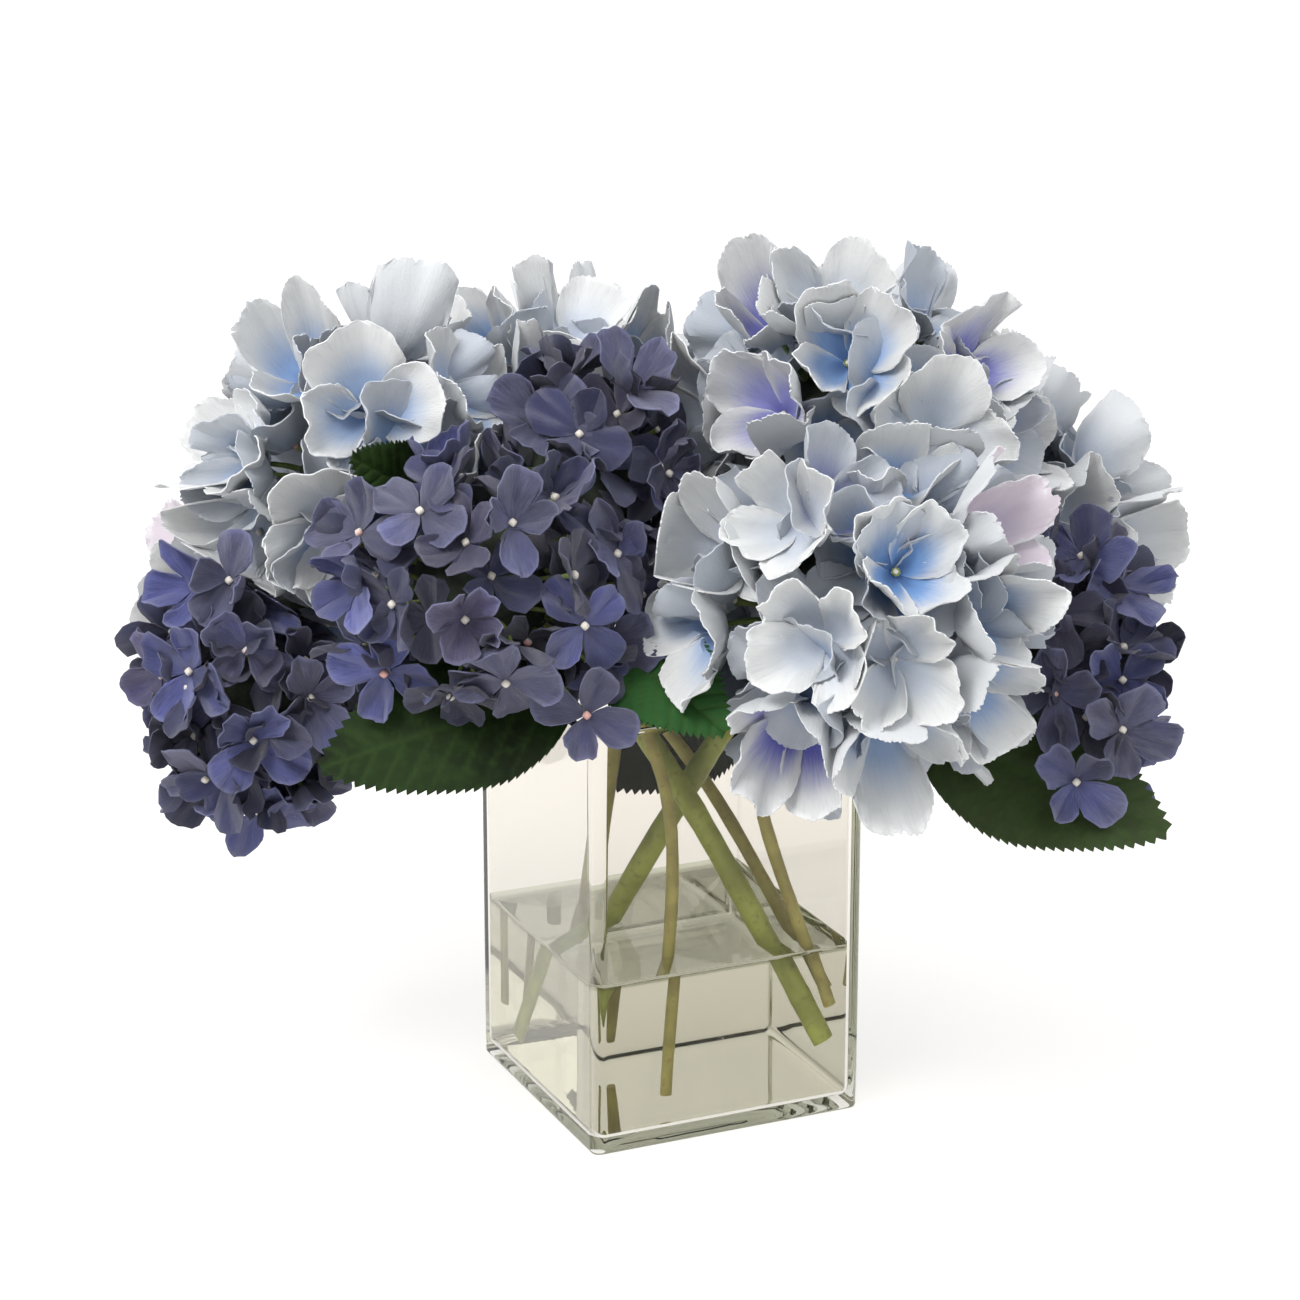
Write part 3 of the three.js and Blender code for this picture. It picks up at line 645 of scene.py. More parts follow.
# Petals
PETALS = 4
CUP_DRAW = 0.35
CUP_RISE = 0.9
SIDE_SPAN = 0.965
WALL_SOFT = 3.0
WALL_LIFT = 0.65
MOST_LIFT = 12
WALL_ROUNDS = 2
TOOTH_IN = -1.2
TOOTH_OUT = 0.3
NICK_CHANCE = 0.05
OUTER_PART = (0.6, 1)
RUFFLED_PART = (0.35, 1)
RIM_JITTER = 0.6
WIDTHS = (0.85, 1.3)
LENGTHS = (0.9, 1.04)
INNER_LENGTH = 0.93
OUTER_LENGTH = 1.04
SPANS = (0.86, 1)
CUP_JITTER = 0.15
INNER_CUP = 0.1
BEND_JITTER = 0.25
LEAN_SPREAD = (-0.6, 0.8)
TILT = 0.12
TWIST = 0.35
LIP_SPREAD = (0.2, 1.8)
TURN_JITTER = 0.09
ROLLED_BEND = 0.8
ROLLED_CUP = 0.2
LEAST_BEND = 0.05
BEND_RING = 0.56
CREASE_WIDTH = 0.07
CREASE_START = (0.1, 0.4)
RUFFLES = (1.6, 3.2)
RUFFLE = 0.05
FINE_RUFFLE = 0.015
CURLS = (-0.1, 0.06)
ANY_PHASE = (0, 6.3)
TUCK_SPREAD = (0.16, 0.07)
TUCK_START = (0.02, 0.3)
PLACED_NOD = 0.4
CLOSED = (0.1, 1.9)
CLOSED_SHRINK = 0.1
CLOSED_SINK = 0.15
LEANS = (-0.3, 0.7)
TINT_SPREAD = 0.08
STRENGTHS = (0.75, 1.1)


def petal_grid(kind, coarse):
    """The points of a petal as (across, along), from -1 to 1 and from 0 to 1, its faces and its border"""
    fans, split, rings = kind.fans[coarse], kind.split[coarse], kind.rings[coarse]
    spots, rows = [(0, 0)], [[0]]
    for ring in rings:
        count = fans * (split if ring == rings[-1] else 1) + 1
        rows.append(list(range(len(spots), len(spots) + count)))
        spots += [(-1 + 2 * k / (count - 1), ring) for k in range(count)]
    faces = [(0, k, k + 1) for k in rows[1][:-1]]
    for inner, outer in zip(rows[1:], rows[2:]):
        step = (len(outer) - 1) // fans
        for k in range(fans):
            faces += [(inner[k], outer[j], outer[j + 1]) for j in range(step * k, step * (k + 1))]
            faces.append((inner[k], outer[step * (k + 1)], inner[k + 1]))
    border = [row[0] for row in rows[:-1]] + rows[-1] + [row[-1] for row in rows[-2:0:-1]]
    spots = np.array(spots, float)
    return {"across": spots[:, 0], "along": spots[:, 1], "faces": np.array(faces), "border": border}


GRIDS = {(name, coarse): petal_grid(kind, coarse) for name, kind in KINDS.items() for coarse in (0, 1)}


def pressed(points, walls, facing):
    """Points bent back from walls that they pass, and up along them, so that petals lie face to face"""
    for normal, limit in walls * WALL_ROUNDS:
        room = limit - points @ normal
        back = WALL_SOFT * np.exp((np.minimum(room, WALL_SOFT) - WALL_SOFT) / WALL_SOFT) - room
        back = np.where(room < WALL_SOFT, back, 0)[:, None]
        points = points - normal * back + facing * np.minimum(back, MOST_LIFT) * WALL_LIFT
    return points


def ragged(kind, across, along, chance):
    """How far the rim stands in or out at each point: small teeth, and here and there a deeper nick"""
    edge = np.zeros_like(across)
    rim = np.flatnonzero(along == 1)
    teeth = np.array([chance.uniform(0.0, 1) ** 1.6 for _ in rim]) * np.where(rim % 2, TOOTH_IN, TOOTH_OUT)
    nicks = np.array([TOOTH_IN if chance.random() < NICK_CHANCE else 0 for _ in rim])
    edge[rim] = kind.tooth * (teeth + nicks)
    slow = np.sin(across * 7 + chance.uniform(*ANY_PHASE)) + np.sin(across * 13 + chance.uniform(*ANY_PHASE))
    return edge + 0.5 * kind.tooth * slow * smooth(along, *OUTER_PART)


def petal_shape(kind, grid, floret, inner, chance):
    """A petal's middle surface in shares of its reach, as forth, aside and up: a cupped, wavy fan"""
    across, along = grid["across"], grid["along"]
    rim = np.flatnonzero(along == 1)[1:-1]
    across = across.copy()
    across[rim] += jitter(chance, RIM_JITTER, len(rim)) / len(rim)
    outline = np.cos(across * SIDE_SPAN * math.pi / 2) ** (kind.fullness * chance.uniform(*WIDTHS))
    length = chance.uniform(*LENGTHS) * (INNER_LENGTH if inner else OUTER_LENGTH)
    share = along * outline * length * (1 + ragged(kind, across, along, chance))
    angle = across * SIDE_SPAN * kind.half_angle * chance.uniform(*SPANS)
    cup = floret.cup + sway(chance, CUP_JITTER) + (INNER_CUP if inner else -INNER_CUP)
    bend = floret.bend + sway(chance, BEND_JITTER)
    if chance.random() < kind.rolled:
        bend += ROLLED_BEND
        cup += ROLLED_CUP
    ring = BEND_RING / (bend if abs(bend) > LEAST_BEND else LEAST_BEND)
    lean = floret.lean + chance.uniform(*LEAN_SPREAD) * kind.lean * share
    tilt, twist = sway(chance, TILT), sway(chance, TWIST)
    out = share - CUP_DRAW * cup * share**2
    up = cup * (CUP_RISE * share**2 - kind.lip * chance.uniform(*LIP_SPREAD) * share**4)
    forth, aside = out * np.cos(angle), out * np.sin(angle)
    up = up + ring * (1 - np.cos(aside / ring)) + (tilt + twist * share) * aside
    up = up - kind.crease * np.exp(-((aside / CREASE_WIDTH) ** 2)) * smooth(share, *CREASE_START)
    aside = ring * np.sin(aside / ring)
    forth, up = forth * np.cos(lean) - up * np.sin(lean), forth * np.sin(lean) + up * np.cos(lean)
    points = np.stack([forth, aside, up], 1)
    normals = point_normals(points, grid["faces"])
    waves = chance.uniform(*RUFFLES)
    ruffle = np.sin(across * math.pi * waves + chance.uniform(*ANY_PHASE)) * RUFFLE
    ruffle += np.sin(across * math.pi * waves * 2.7 + chance.uniform(*ANY_PHASE)) * FINE_RUFFLE
    curl = chance.uniform(*CURLS) * smooth(along, *OUTER_PART) ** 2
    return points + normals * ((ruffle * smooth(along, *RUFFLED_PART) + curl) * outline)[:, None]


def tucked(lower, upper, apart):
    """The lower petal pushed down wherever it would come up through the petals that lie on it"""
    across = lower[:, None, :2] - upper[None, :, :2]
    far = np.hypot(across[..., 0], across[..., 1])
    nearest = far.argmin(1)
    far = far[np.arange(len(lower)), nearest]
    margin = apart * smooth(np.hypot(lower[:, 0], lower[:, 1]), *TUCK_START)
    over = np.maximum(lower[:, 2] - upper[nearest, 2] + margin, 0)
    lower = lower.copy()
    lower[:, 2] -= over * smooth(far, *TUCK_SPREAD)
    return lower


def floret_petals(kind, grid, floret, chance):
    """The middle surfaces of a floret's petals, the even ones under the odd ones, bent back by its walls"""
    shapes = []
    for k in range(PETALS):
        shape = petal_shape(kind, grid, floret, k % 2, chance)
        turn = floret.roll + k * math.pi / 2 + sway(chance, TURN_JITTER)
        shapes.append(shape @ around_z(turn))
    for k in range(0, PETALS, 2):
        shapes[k] = tucked(shapes[k], np.concatenate(shapes[1::2]), kind.apart)
    facing = floret.facing
    side = unit(np.cross((1.0, 0, 0) if abs(facing[0]) <= 0.9 else (0, 1.0, 0), facing))
    over = unit(np.cross(facing, side))
    for shape in shapes:
        points = floret.centre + shape @ np.array([side, over, facing]) * floret.reach
        yield off_leaves(pressed(points, floret.walls, facing), floret.centre)


def shaped(kind, floret, chance):
    """The floret as it grew: nodding its own way, more or less open, and where closed smaller and deeper"""
    facing = unit(floret.facing + jitter(chance, 1) * kind.nod * (PLACED_NOD if floret.placed else 1))
    closed_by = DYES[floret.dye][3] * chance.uniform(*CLOSED)
    return replace(
        floret, facing=facing, cup=floret.cup + closed_by, bend=chance.uniform(*kind.bend),
        lean=chance.uniform(*LEANS) * kind.lean, reach=floret.reach * (1 - CLOSED_SHRINK * closed_by),
        centre=floret.centre - facing * floret.reach * CLOSED_SINK * closed_by,
    )


def add_floret(surface, name, floret, chance, coarse, deep_painted_shade=0):
    kind, grid = KINDS[name], GRIDS[name, coarse]
    floret = shaped(kind, floret, chance)
    tint, strength, pink = DYES[floret.dye][:3]
    tint = tint + sway(chance, TINT_SPREAD)
    strength = strength * chance.uniform(*STRENGTHS)
    for middle in floret_petals(kind, grid, floret, chance):
        points, faces = sheet(middle, grid["faces"], grid["border"], kind.thick)
        half = len(points) // 2
        # The third petal value also flags florets deeper in the head, which the looks darken as painted shade
        under = np.repeat([0, 1], half) + 2 * deep_painted_shade
        petal = np.stack([np.tile(grid["across"], 2), np.tile(grid["along"], 2), under], 1)
        tone = chance.uniform(0, 1)
        surface.add(points, faces, petal, (tint, strength, tone + 2 * pink))
    add_bead(surface, kind.bead, floret)


BEAD_SIDES = 12
BEAD_SQUARE = 0.12
BEAD_LOOPS = [(-0.75, 0.5), (0.05, 0.8), (0.6, 1), (1.05, 0.88), (1.35, 0.5), (1.43, 0.18)]


def add_bead(surface, size, floret):
    """The eye of a floret: a small knob, nearly square, on a short neck"""
    facing = floret.facing
    side = beside(facing)
    turns = circle(BEAD_SIDES)
    square = 1 + BEAD_SQUARE * np.cos(4 * turns)
    ring = np.outer(np.cos(turns) * square, side) + np.outer(np.sin(turns) * square, np.cross(facing, side))
    loops = [floret.centre + ring * size * width + facing * size * height for height, width in BEAD_LOOPS]
    surface.add(*closed(loops), slot=1)


# Materials
class Nodes:
    """A tree of nodes, with short ways to add and join them"""

    def __init__(self, tree):
        self.tree = tree

    def node(self, kind, values=(), **settings):
        node = self.tree.nodes.new(kind)
        for key, value in settings.items():
            setattr(node, key, value)
        for socket, value in dict(values).items():
            self.put(node.inputs[socket], value)
        return node

    def put(self, socket, value):
        if isinstance(value, bpy.types.NodeSocket):
            self.tree.links.new(value, socket)
        elif isinstance(value, tuple) and len(value) == 3 and socket.type == "RGBA":
            socket.default_value = (*value, 1)
        else:
            socket.default_value = value

    def math(self, operation, *values):
        return self.node("ShaderNodeMath", enumerate(values), operation=operation).outputs[0]

    def times(self, a, b):
        return self.math("MULTIPLY", a, b)

    def plus(self, a, b):
        return self.math("ADD", a, b)

    def step(self, value, low, high, top=1.0):
        values = {"Value": value, "From Min": low, "From Max": high, "To Max": top}
        node = self.node("ShaderNodeMapRange", values)
        node.interpolation_type = "SMOOTHSTEP"
        return node.outputs["Result"]

    def mix(self, share, a, b, blend="MIX"):
        node = self.node("ShaderNodeMix", data_type="RGBA", blend_type=blend)
        for socket, value in ((0, share), (6, a), (7, b)):
            self.put(node.inputs[socket], value)
        return node.outputs[2]

    def between(self, share, low, high):
        """A mix of two colours that are given as they are seen"""
        return self.mix(share, linear(*low), linear(*high))

    def tinted(self, color, share, amount, tint):
        """The colour with that much of a tint, given as it is seen, where the share is high"""
        return self.mix(self.times(share, amount), color, linear(*tint))

    def shaded(self, color, shade):
        grey = self.node("ShaderNodeCombineColor", {0: shade, 1: shade, 2: shade}).outputs[0]
        return self.mix(1.0, color, grey, "MULTIPLY")

    def vector(self, name):
        spread = self.node("ShaderNodeAttribute", attribute_name=name, attribute_type="GEOMETRY")
        split = self.node("ShaderNodeSeparateXYZ", {0: spread.outputs["Vector"]})
        return split.outputs[:]

    def noise(self, scale, detail=3.0, roughness=0.5, place=None):
        place = place or self.node("ShaderNodeTexCoord").outputs["Object"]
        values = {"Vector": place, "Scale": scale, "Detail": detail, "Roughness": roughness}
        return self.node("ShaderNodeTexNoise", values).outputs["Fac"]


class Look(Nodes):
    """A material, with its main shader"""

    def __init__(self, name):
        self.material = bpy.data.materials.new(name)
        self.material.use_nodes = True
        super().__init__(self.material.node_tree)
        self.shader = self.tree.nodes["Principled BSDF"]

    def bump(self, height, strength, distance):
        node = self.node("ShaderNodeBump", {"Height": height, "Strength": strength, "Distance": distance})
        self.put(self.shader.inputs["Normal"], node.outputs[0])

    def set(self, **values):
        for key, value in values.items():
            self.put(self.shader.inputs[key.replace("_", " ")], value)


class PetalLook(Look):
    """A petal's material, with what its points carry and a place on the petal that follows its veins"""

    def __init__(self, name):
        super().__init__(name)
        across, self.along, under = self.vector("petal")
        # Florets deeper in the head are flagged here; the looks darken them as painted shade
        self.under, self.deep_painted_shade = self.math("MODULO", under, 2.0), self.math("GREATER_THAN", under, 1.5)
        self.tint, self.strength, tone = self.vector("dye")
        self.tone, self.pink = self.math("MODULO", tone, 2.0), self.step(tone, 1.4, 1.6)
        place = {0: self.times(across, 9.0), 1: self.along, 2: self.times(self.tone, 9.0)}
        self.place = self.node("ShaderNodeCombineXYZ", place).outputs[0]


def pale_look():
    look = PetalLook("pale_petal")
    streak = look.noise(4.0, 4.0, 0.6, look.place)
    body = look.between(look.noise(55.0), (198, 200, 201), (219, 220, 219))
    body = look.tinted(body, look.step(streak, 0.45, 0.75), 0.35, (174, 180, 187))
    body = look.tinted(body, look.pink, 0.7, (204, 190, 204))
    reach = look.plus(look.along, look.times(look.math("SUBTRACT", streak, 0.5), 0.35))
    throat = look.times(look.step(reach, 0.84, 0.28), look.strength)
    inside = look.between(look.step(look.tint, 0.3, 0.7), (104, 146, 200), (92, 94, 182))
    color = look.mix(look.times(throat, 0.92), body, inside)
    heart = look.between(look.step(look.tint, 0.3, 0.7), (52, 88, 142), (52, 54, 132))
    color = look.mix(look.times(look.step(look.along, 0.34, 0.02), look.strength), color, heart)
    # Pale thin rim along each petal: partly the petal's own paler edge, partly a painted highlight
    pale_rim_and_highlight = look.times(look.step(look.along, 0.9, 1.0), look.step(look.noise(300.0), 0.4, 0.6, 0.6))
    color = look.mix(pale_rim_and_highlight, color, linear(234, 235, 236))
    back = look.between(look.times(throat, 0.45), (202, 205, 208), (138, 160, 198))
    color = look.mix(look.under, color, back)
    color = look.shaded(color, look.plus(look.times(look.tone, 0.12), 0.9))
    # Painted shade: florets deeper in the head are made darker and bluer
    color = look.tinted(color, look.deep_painted_shade, 0.4, (96, 114, 142))
    look.set(Base_Color=color, Roughness=0.72, Sheen_Weight=0.25, Sheen_Roughness=0.5)
    weave = look.plus(look.noise(1400.0, 2.0), look.times(streak, 1.6))
    look.bump(weave, 0.35, 0.0003)
    return look.material


def dark_look():
    look = PetalLook("dark_petal")
    cloud = look.noise(90.0)
    streak = look.noise(5.0, 4.0, 0.65, look.place)
    vein = look.noise(2.6, 3.0, 0.6, look.place)
    slate = look.between(cloud, (65, 66, 93), (98, 99, 129))
    indigo = look.between(cloud, (65, 70, 125), (96, 102, 164))
    blot = look.times(look.math("SUBTRACT", look.noise(34.0, 1.0), 0.5), 2.2)
    color = look.mix(look.step(look.plus(look.tint, blot), 0.1, 0.9), slate, indigo)
    color = look.tinted(color, look.pink, 0.5, (78, 62, 98))
    color = look.tinted(color, look.step(streak, 0.4, 0.7), 0.45, (40, 41, 64))
    color = look.tinted(color, look.step(vein, 0.52, 0.72), 0.45, (122, 124, 152))
    color = look.tinted(color, look.step(look.along, 0.3, 0.0), 0.55, (38, 38, 66))
    color = look.tinted(color, look.step(look.along, 0.88, 1.0), 0.5, (116, 118, 152))
    color = look.tinted(color, look.under, 0.5, (66, 69, 98))
    color = look.shaded(color, look.plus(look.times(look.tone, 0.65), 0.7))
    # Painted shade: florets deeper in the head are made much darker
    color = look.tinted(color, look.deep_painted_shade, 0.6, (29, 30, 47))
    look.set(Base_Color=color, Roughness=0.62, Sheen_Weight=0.2, Sheen_Roughness=0.45)
    waves = {"Vector": look.place, "Scale": 1.6, "Distortion": 2.5, "Detail": 2.0}
    creases = look.node("ShaderNodeTexWave", waves).outputs["Fac"]
    height = look.plus(look.times(creases, 0.7), look.noise(1200.0, 2.0))
    look.bump(height, 0.6, 0.0006)
    return look.material


def plant_look(name, low, high, mark, roughness, scale):
    """Green parts: two tones in soft patches, streaked with a third"""
    look = Look(name)
    color = look.between(look.step(look.noise(scale), 0.35, 0.65), low, high)
    color = look.tinted(color, look.step(look.noise(scale * 4), 0.5, 0.72), 0.6, mark)
    look.set(Base_Color=color, Roughness=roughness)
    look.bump(look.noise(900.0), 0.25, 0.0004)
    return look.material


def bead_look():
    look = Look("bead")
    color = look.between(look.noise(700.0), (196, 190, 180), (222, 217, 208))
    color = look.mix(look.step(look.noise(42.0, 1.0), 0.62, 0.66), color, linear(206, 158, 150))
    look.set(Base_Color=color, Roughness=0.55)
    look.bump(look.noise(1500.0), 0.2, 0.0003)
    return look.material


def leaf_look():
    """On a leaf, petal.z is how near to a vein a point is, dye.x the leaf's painted light and shade (above 0
    lighter and greener, below 0 darker) and dye.y how wan the leaf is
    """
    look = Look("leaf")
    vein = look.vector("petal")[2]
    light, wan = look.vector("dye")[:2]
    color = look.between(look.step(look.noise(45.0, 4.0), 0.35, 0.68), (20, 32, 10), (32, 52, 18))
    color = look.tinted(color, look.step(look.noise(260.0, 3.0), 0.45, 0.7), 0.5, (42, 66, 26))
    color = look.mix(wan, color, linear(84, 100, 62))
    # Painted light and shade: a lit leaf is painted lighter and greener, a shaded one darker
    color = look.mix(light, color, linear(50, 102, 50))
    color = look.tinted(color, vein, 0.5, (54, 78, 34))
    color = look.shaded(color, look.math("MINIMUM", look.plus(light, 1.0), 1.0))
    look.set(Base_Color=color, Roughness=0.5, Specular_IOR_Level=0.14)
    net = look.node("ShaderNodeTexVoronoi", {"Scale": 420.0}, feature="DISTANCE_TO_EDGE").outputs["Distance"]
    height = look.plus(look.times(net, 1.2), look.noise(500.0))
    look.bump(height, 0.35, 0.0005)
    return look.material


GLINT = (0.25, 0.25, 0.25)


def glass_look(name, color, ior, clear, body, density):
    """Clear stuff: shadow rays go straight on, a little tinted, and its body dims what is seen through it"""
    look = Look(name)
    look.set(Base_Color=color, Roughness=0.0, IOR=ior, Transmission_Weight=1.0, Specular_Tint=GLINT)
    path = look.node("ShaderNodeLightPath")
    through = look.math("MAXIMUM", path.outputs["Is Shadow Ray"], path.outputs["Is Diffuse Ray"])
    straight = look.node("ShaderNodeBsdfTransparent", {"Color": clear})
    both = look.node("ShaderNodeMixShader", {0: through, 1: look.shader.outputs[0], 2: straight.outputs[0]})
    dims = look.node("ShaderNodeVolumeAbsorption", {"Color": body, "Density": density})
    output = look.tree.nodes["Material Output"]
    look.put(output.inputs["Surface"], both.outputs[0])
    look.put(output.inputs["Volume"], dims.outputs[0])
    return look.material


GREEN = {
    "thin": plant_look("thin_stem", (146, 139, 76), (168, 161, 90), (132, 102, 60), 0.5, 120.0),
    "thick": plant_look("thick_stem", (132, 141, 62), (158, 168, 78), (116, 110, 58), 0.45, 90.0),
    "stalk": plant_look("stalk", (98, 116, 58), (126, 142, 78), (84, 92, 50), 0.6, 200.0),
    # Painted shade: the knot is coloured much darker than the stalks, standing in for the shade inside a head
    "knot": plant_look("knot", (44, 52, 40), (64, 72, 58), (36, 42, 30), 0.8, 160.0),
    "leaf_stalk": plant_look("leaf_stalk", (58, 84, 40), (84, 112, 54), (52, 70, 36), 0.5, 150.0),
}
PETAL_LOOKS = {"pale": pale_look(), "dark": dark_look()}
BEAD = bead_look()
LEAF = leaf_look()


def settled(piece, slot, *nodes):
    """Rides the piece on the vase's body, in the place of the solids that it stands for"""
    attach(piece, BODY)
    if nodes:
        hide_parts(*nodes)


# Heads
UNDER_START = 2.1
UNDER_STEP = 40
UNDER_ROOM = 2
UNDER_CUP = 0.6
EXTRA_SIZE = 0.96
STALK_TOP = 0.6
STALK_KNEE = 1.5
STALK_STEPS = 4
STALK_SIDES = 7
KNOT_SIDES = 22
KNOT_ROWS = 14
KNOT_SIZE = 0.92
KNOT_LUMPS = 0.07


def core_radius(head):
    return head.radius * KINDS[head.kind].core


def under_florets(head, florets, sunk, size, count, chance):
    """More florets deeper in the head, between the outer ones, so that no bare stalks show"""
    kind = KINDS[head.kind]
    centre = np.array(head.centre, float)
    head_walls = florets[0].walls[: len(HEADS) - 1]
    found = []
    for direction in spiral(count, 2, UNDER_START + sunk * UNDER_STEP):
        direction = np.array(direction)
        spot = centre + direction * head.stretch * head.radius * (kind.seat - sunk)
        walls = [*head_walls, vase_wall(spot)]
        if min(room_to(wall, spot) for wall in walls) < UNDER_ROOM:
            continue
        facing = unit(direction + jitter(chance, 0.5))
        roll = chance.uniform(0, 1.5)
        dye = chance.choice(DYES_DRAWN[head.kind])
        cup, reach, dye = kind.cup * UNDER_CUP, kind.reach * size, "blue" if dye == "pink" else dye
        found.append(Floret(spot, direction, facing, roll, cup, reach, dye, walls))
    return found


def extra_florets(head, name):
    """The florets that hang out of a head"""
    kind = KINDS[head.kind]
    for spot, facing, dye in EXTRAS.get(name, []):
        spot = np.array(spot, float)
        outward = unit(spot - head.centre)
        yield Floret(spot, outward, unit(facing), spot[0], kind.cup, kind.reach * EXTRA_SIZE, dye, [], True)


def add_stalk(surface, head, floret, chance):
    """The stalk from the head's knot to the back of a floret"""
    kind = KINDS[head.kind]
    foot = np.array(head.centre, float) + floret.direction * (core_radius(head) - STALK_SINK)
    top = floret.centre - floret.facing * STALK_TOP
    knee = (foot + top) / 2 - floret.facing * STALK_KNEE + jitter(chance, 1)
    path = curve_through([foot, knee, top], STALK_STEPS)
    share = np.linspace(0, 1, len(path))
    radii = kind.stalk * (1.1 - 0.35 * share + 0.7 * smooth(share, 0.8, 1))
    surface.add(*tube(path, radii, STALK_SIDES))


def add_knot(surface, head, chance):
    """The knot of buds and forks that the stalks spring from, coloured dark as painted shade of the head's
    inside
    """
    turns = circle(KNOT_SIDES)
    phase = [chance.uniform(0, 6) for _ in range(3)]
    loops = []
    for i in range(1, KNOT_ROWS):
        polar = math.pi * (1 - i / KNOT_ROWS)
        lumps = 1 + KNOT_LUMPS * np.sin(7 * turns + phase[0] + 5 * polar) * math.sin(6 * polar + phase[1])
        flat = math.sin(polar)
        ring = np.stack([np.cos(turns) * flat, np.sin(turns) * flat, np.full(len(turns), math.cos(polar))], 1)
        loops.append(np.array(head.centre) + ring * (core_radius(head) * KNOT_SIZE * lumps)[:, None])
    surface.add(*closed(loops), slot=1)


def make_head(name, head):
    chance = random.Random(head.seed * 7 + 5)
    florets = florets_of(head)
    petals, stalks = Surface(), Surface()
    for floret in [*florets, *extra_florets(head, name)]:
        add_floret(petals, head.kind, floret, chance, 0)
        add_stalk(stalks, head, floret, chance)
    for sunk, size, share, coarse in KINDS[head.kind].under:
        for floret in under_florets(head, florets, sunk, size, round(head.count * share), chance):
            add_floret(petals, head.kind, floret, chance, coarse, deep_painted_shade=1)
            add_stalk(stalks, head, floret, chance)
    add_knot(stalks, head, chance)
    piece = petals.build(name + "_petals", [PETAL_LOOKS[head.kind], BEAD])
    settled(piece, head.kind + "_petal", name)
    settled(stalks.build(name + "_stalks", [GREEN["stalk"], GREEN["knot"]]), "stem")


# Leaves
def leaf_sheet(leaf):
    """A blade's middle surface: its points, faces and border, and what each point carries for the material"""
    base, length, along, face, side = leaf_frame(leaf)
    size, rows = 2 * LEAF_COLUMNS + 1, LEAF_TEETH * len(LEAF_SAW)
    share = np.clip(np.linspace(0, 1, rows + 1), *LEAF_ENDS)[:, None]
    part = np.linspace(-1, 1, size)[None, :]
    saw = np.tile(LEAF_SAW, LEAF_TEETH + 1)[: rows + 1, None]
    edge = np.abs(part) ** 8
    out = part * (np.maximum(leaf_half_width(leaf, share), LEAF_LEAST) + edge * saw * LEAF_TOOTH)
    share = share + edge * saw * LEAF_TOOTH / length + 0 * part
    out_share = np.abs(out) / (leaf.width / 2)
    lift = leaf_lift(leaf, share, out)
    slant = (share - 0.5 * out_share * leaf.width / length * VEIN_SLANT) * (LEAF_VEINS + 1)
    near = np.abs(slant - np.round(slant)) / (LEAF_VEINS + 1) * length
    vein = np.exp(-((near / VEIN_WIDTH) ** 2)) * smooth(out_share, *VEIN_FADE) * (share > VEIN_FROM)
    rib = np.exp(-((out / RIB_WIDTH) ** 2))
    lift += LEAF_PUFF * np.abs(np.sin(slant * np.pi)) * out_share - VEIN_DEPTH * vein - RIB_DEPTH * rib
    points = base + share[..., None] * length * along + out[..., None] * side + lift[..., None] * face
    points = points.reshape(-1, 3)
    a = (np.arange(rows)[:, None] * size + np.arange(size - 1)[None, :]).ravel()
    faces = np.concatenate([np.stack([a, a + 1, a + size + 1], 1), np.stack([a, a + size + 1, a + size], 1)])
    lower, upper = list(range(size)), list(range(rows * size, (rows + 1) * size))
    right = [i * size + size - 1 for i in range(1, rows)]
    left = [i * size for i in range(1, rows)]
    border = lower + right + upper[::-1] + left[::-1]
    values = np.stack([part + 0 * share, share, np.maximum(vein, rib)], 2).reshape(-1, 3)
    return points, faces, border, values


def curve_at(points, share):
    """The point that far along, counted by spans, on the curve through the points"""
    steps = 40
    path = curve_through(points, steps)
    return path[round(share * steps * (len(points) - 1))]


def make_leaf(name, leaf):
    surface = Surface()
    points, faces, border, values = leaf_sheet(leaf)
    points, faces = sheet(points, faces, border, LEAF_THICK)
    surface.add(points, faces, np.tile(values, (2, 1)), (leaf.light, leaf.wan, 0))
    stem = STEMS[leaf.stem]
    start = curve_at(branch_route(stem, leaf.branch) if leaf.branch else stem.route, leaf.along)
    base = np.array(leaf.base, float)
    along = unit(np.subtract(leaf.tip, base))
    sunk = base + along * LEAF_STALK_SINK - unit(leaf.face) * LEAF_STALK_DROP
    knee = start + (base - start) * LEAF_STALK_KNEE + np.array((0, 0, LEAF_STALK_RISE))
    path = curve_through([start, knee, sunk], LEAF_STALK_STEPS)
    share = np.linspace(0, 1, len(path))
    surface.add(*tube(path, LEAF_STALK * (1.1 - 0.25 * share), LEAF_STALK_SIDES), slot=1)
    settled(surface.build(name + "_blade", [LEAF, GREEN["leaf_stalk"]], sharp=60), "leaf", name)


# Stems
def branch_route(stem, to):
    """The route of a branch, from inside the stem below its fork to inside the head's knot"""
    head = HEADS[to]
    centre = np.array(head.centre, float)
    before, fork = (np.array(p, float) for p in stem.route[-2:])
    by = [np.array(p, float) for p in stem.branches[to]]
    reach = core_radius(head) * SOCKET_LEVEL / np.linalg.norm(centre - by[-1])
    return [fork + (before - fork) * BRANCH_SINK, fork, *by, centre + (by[-1] - centre) * reach]


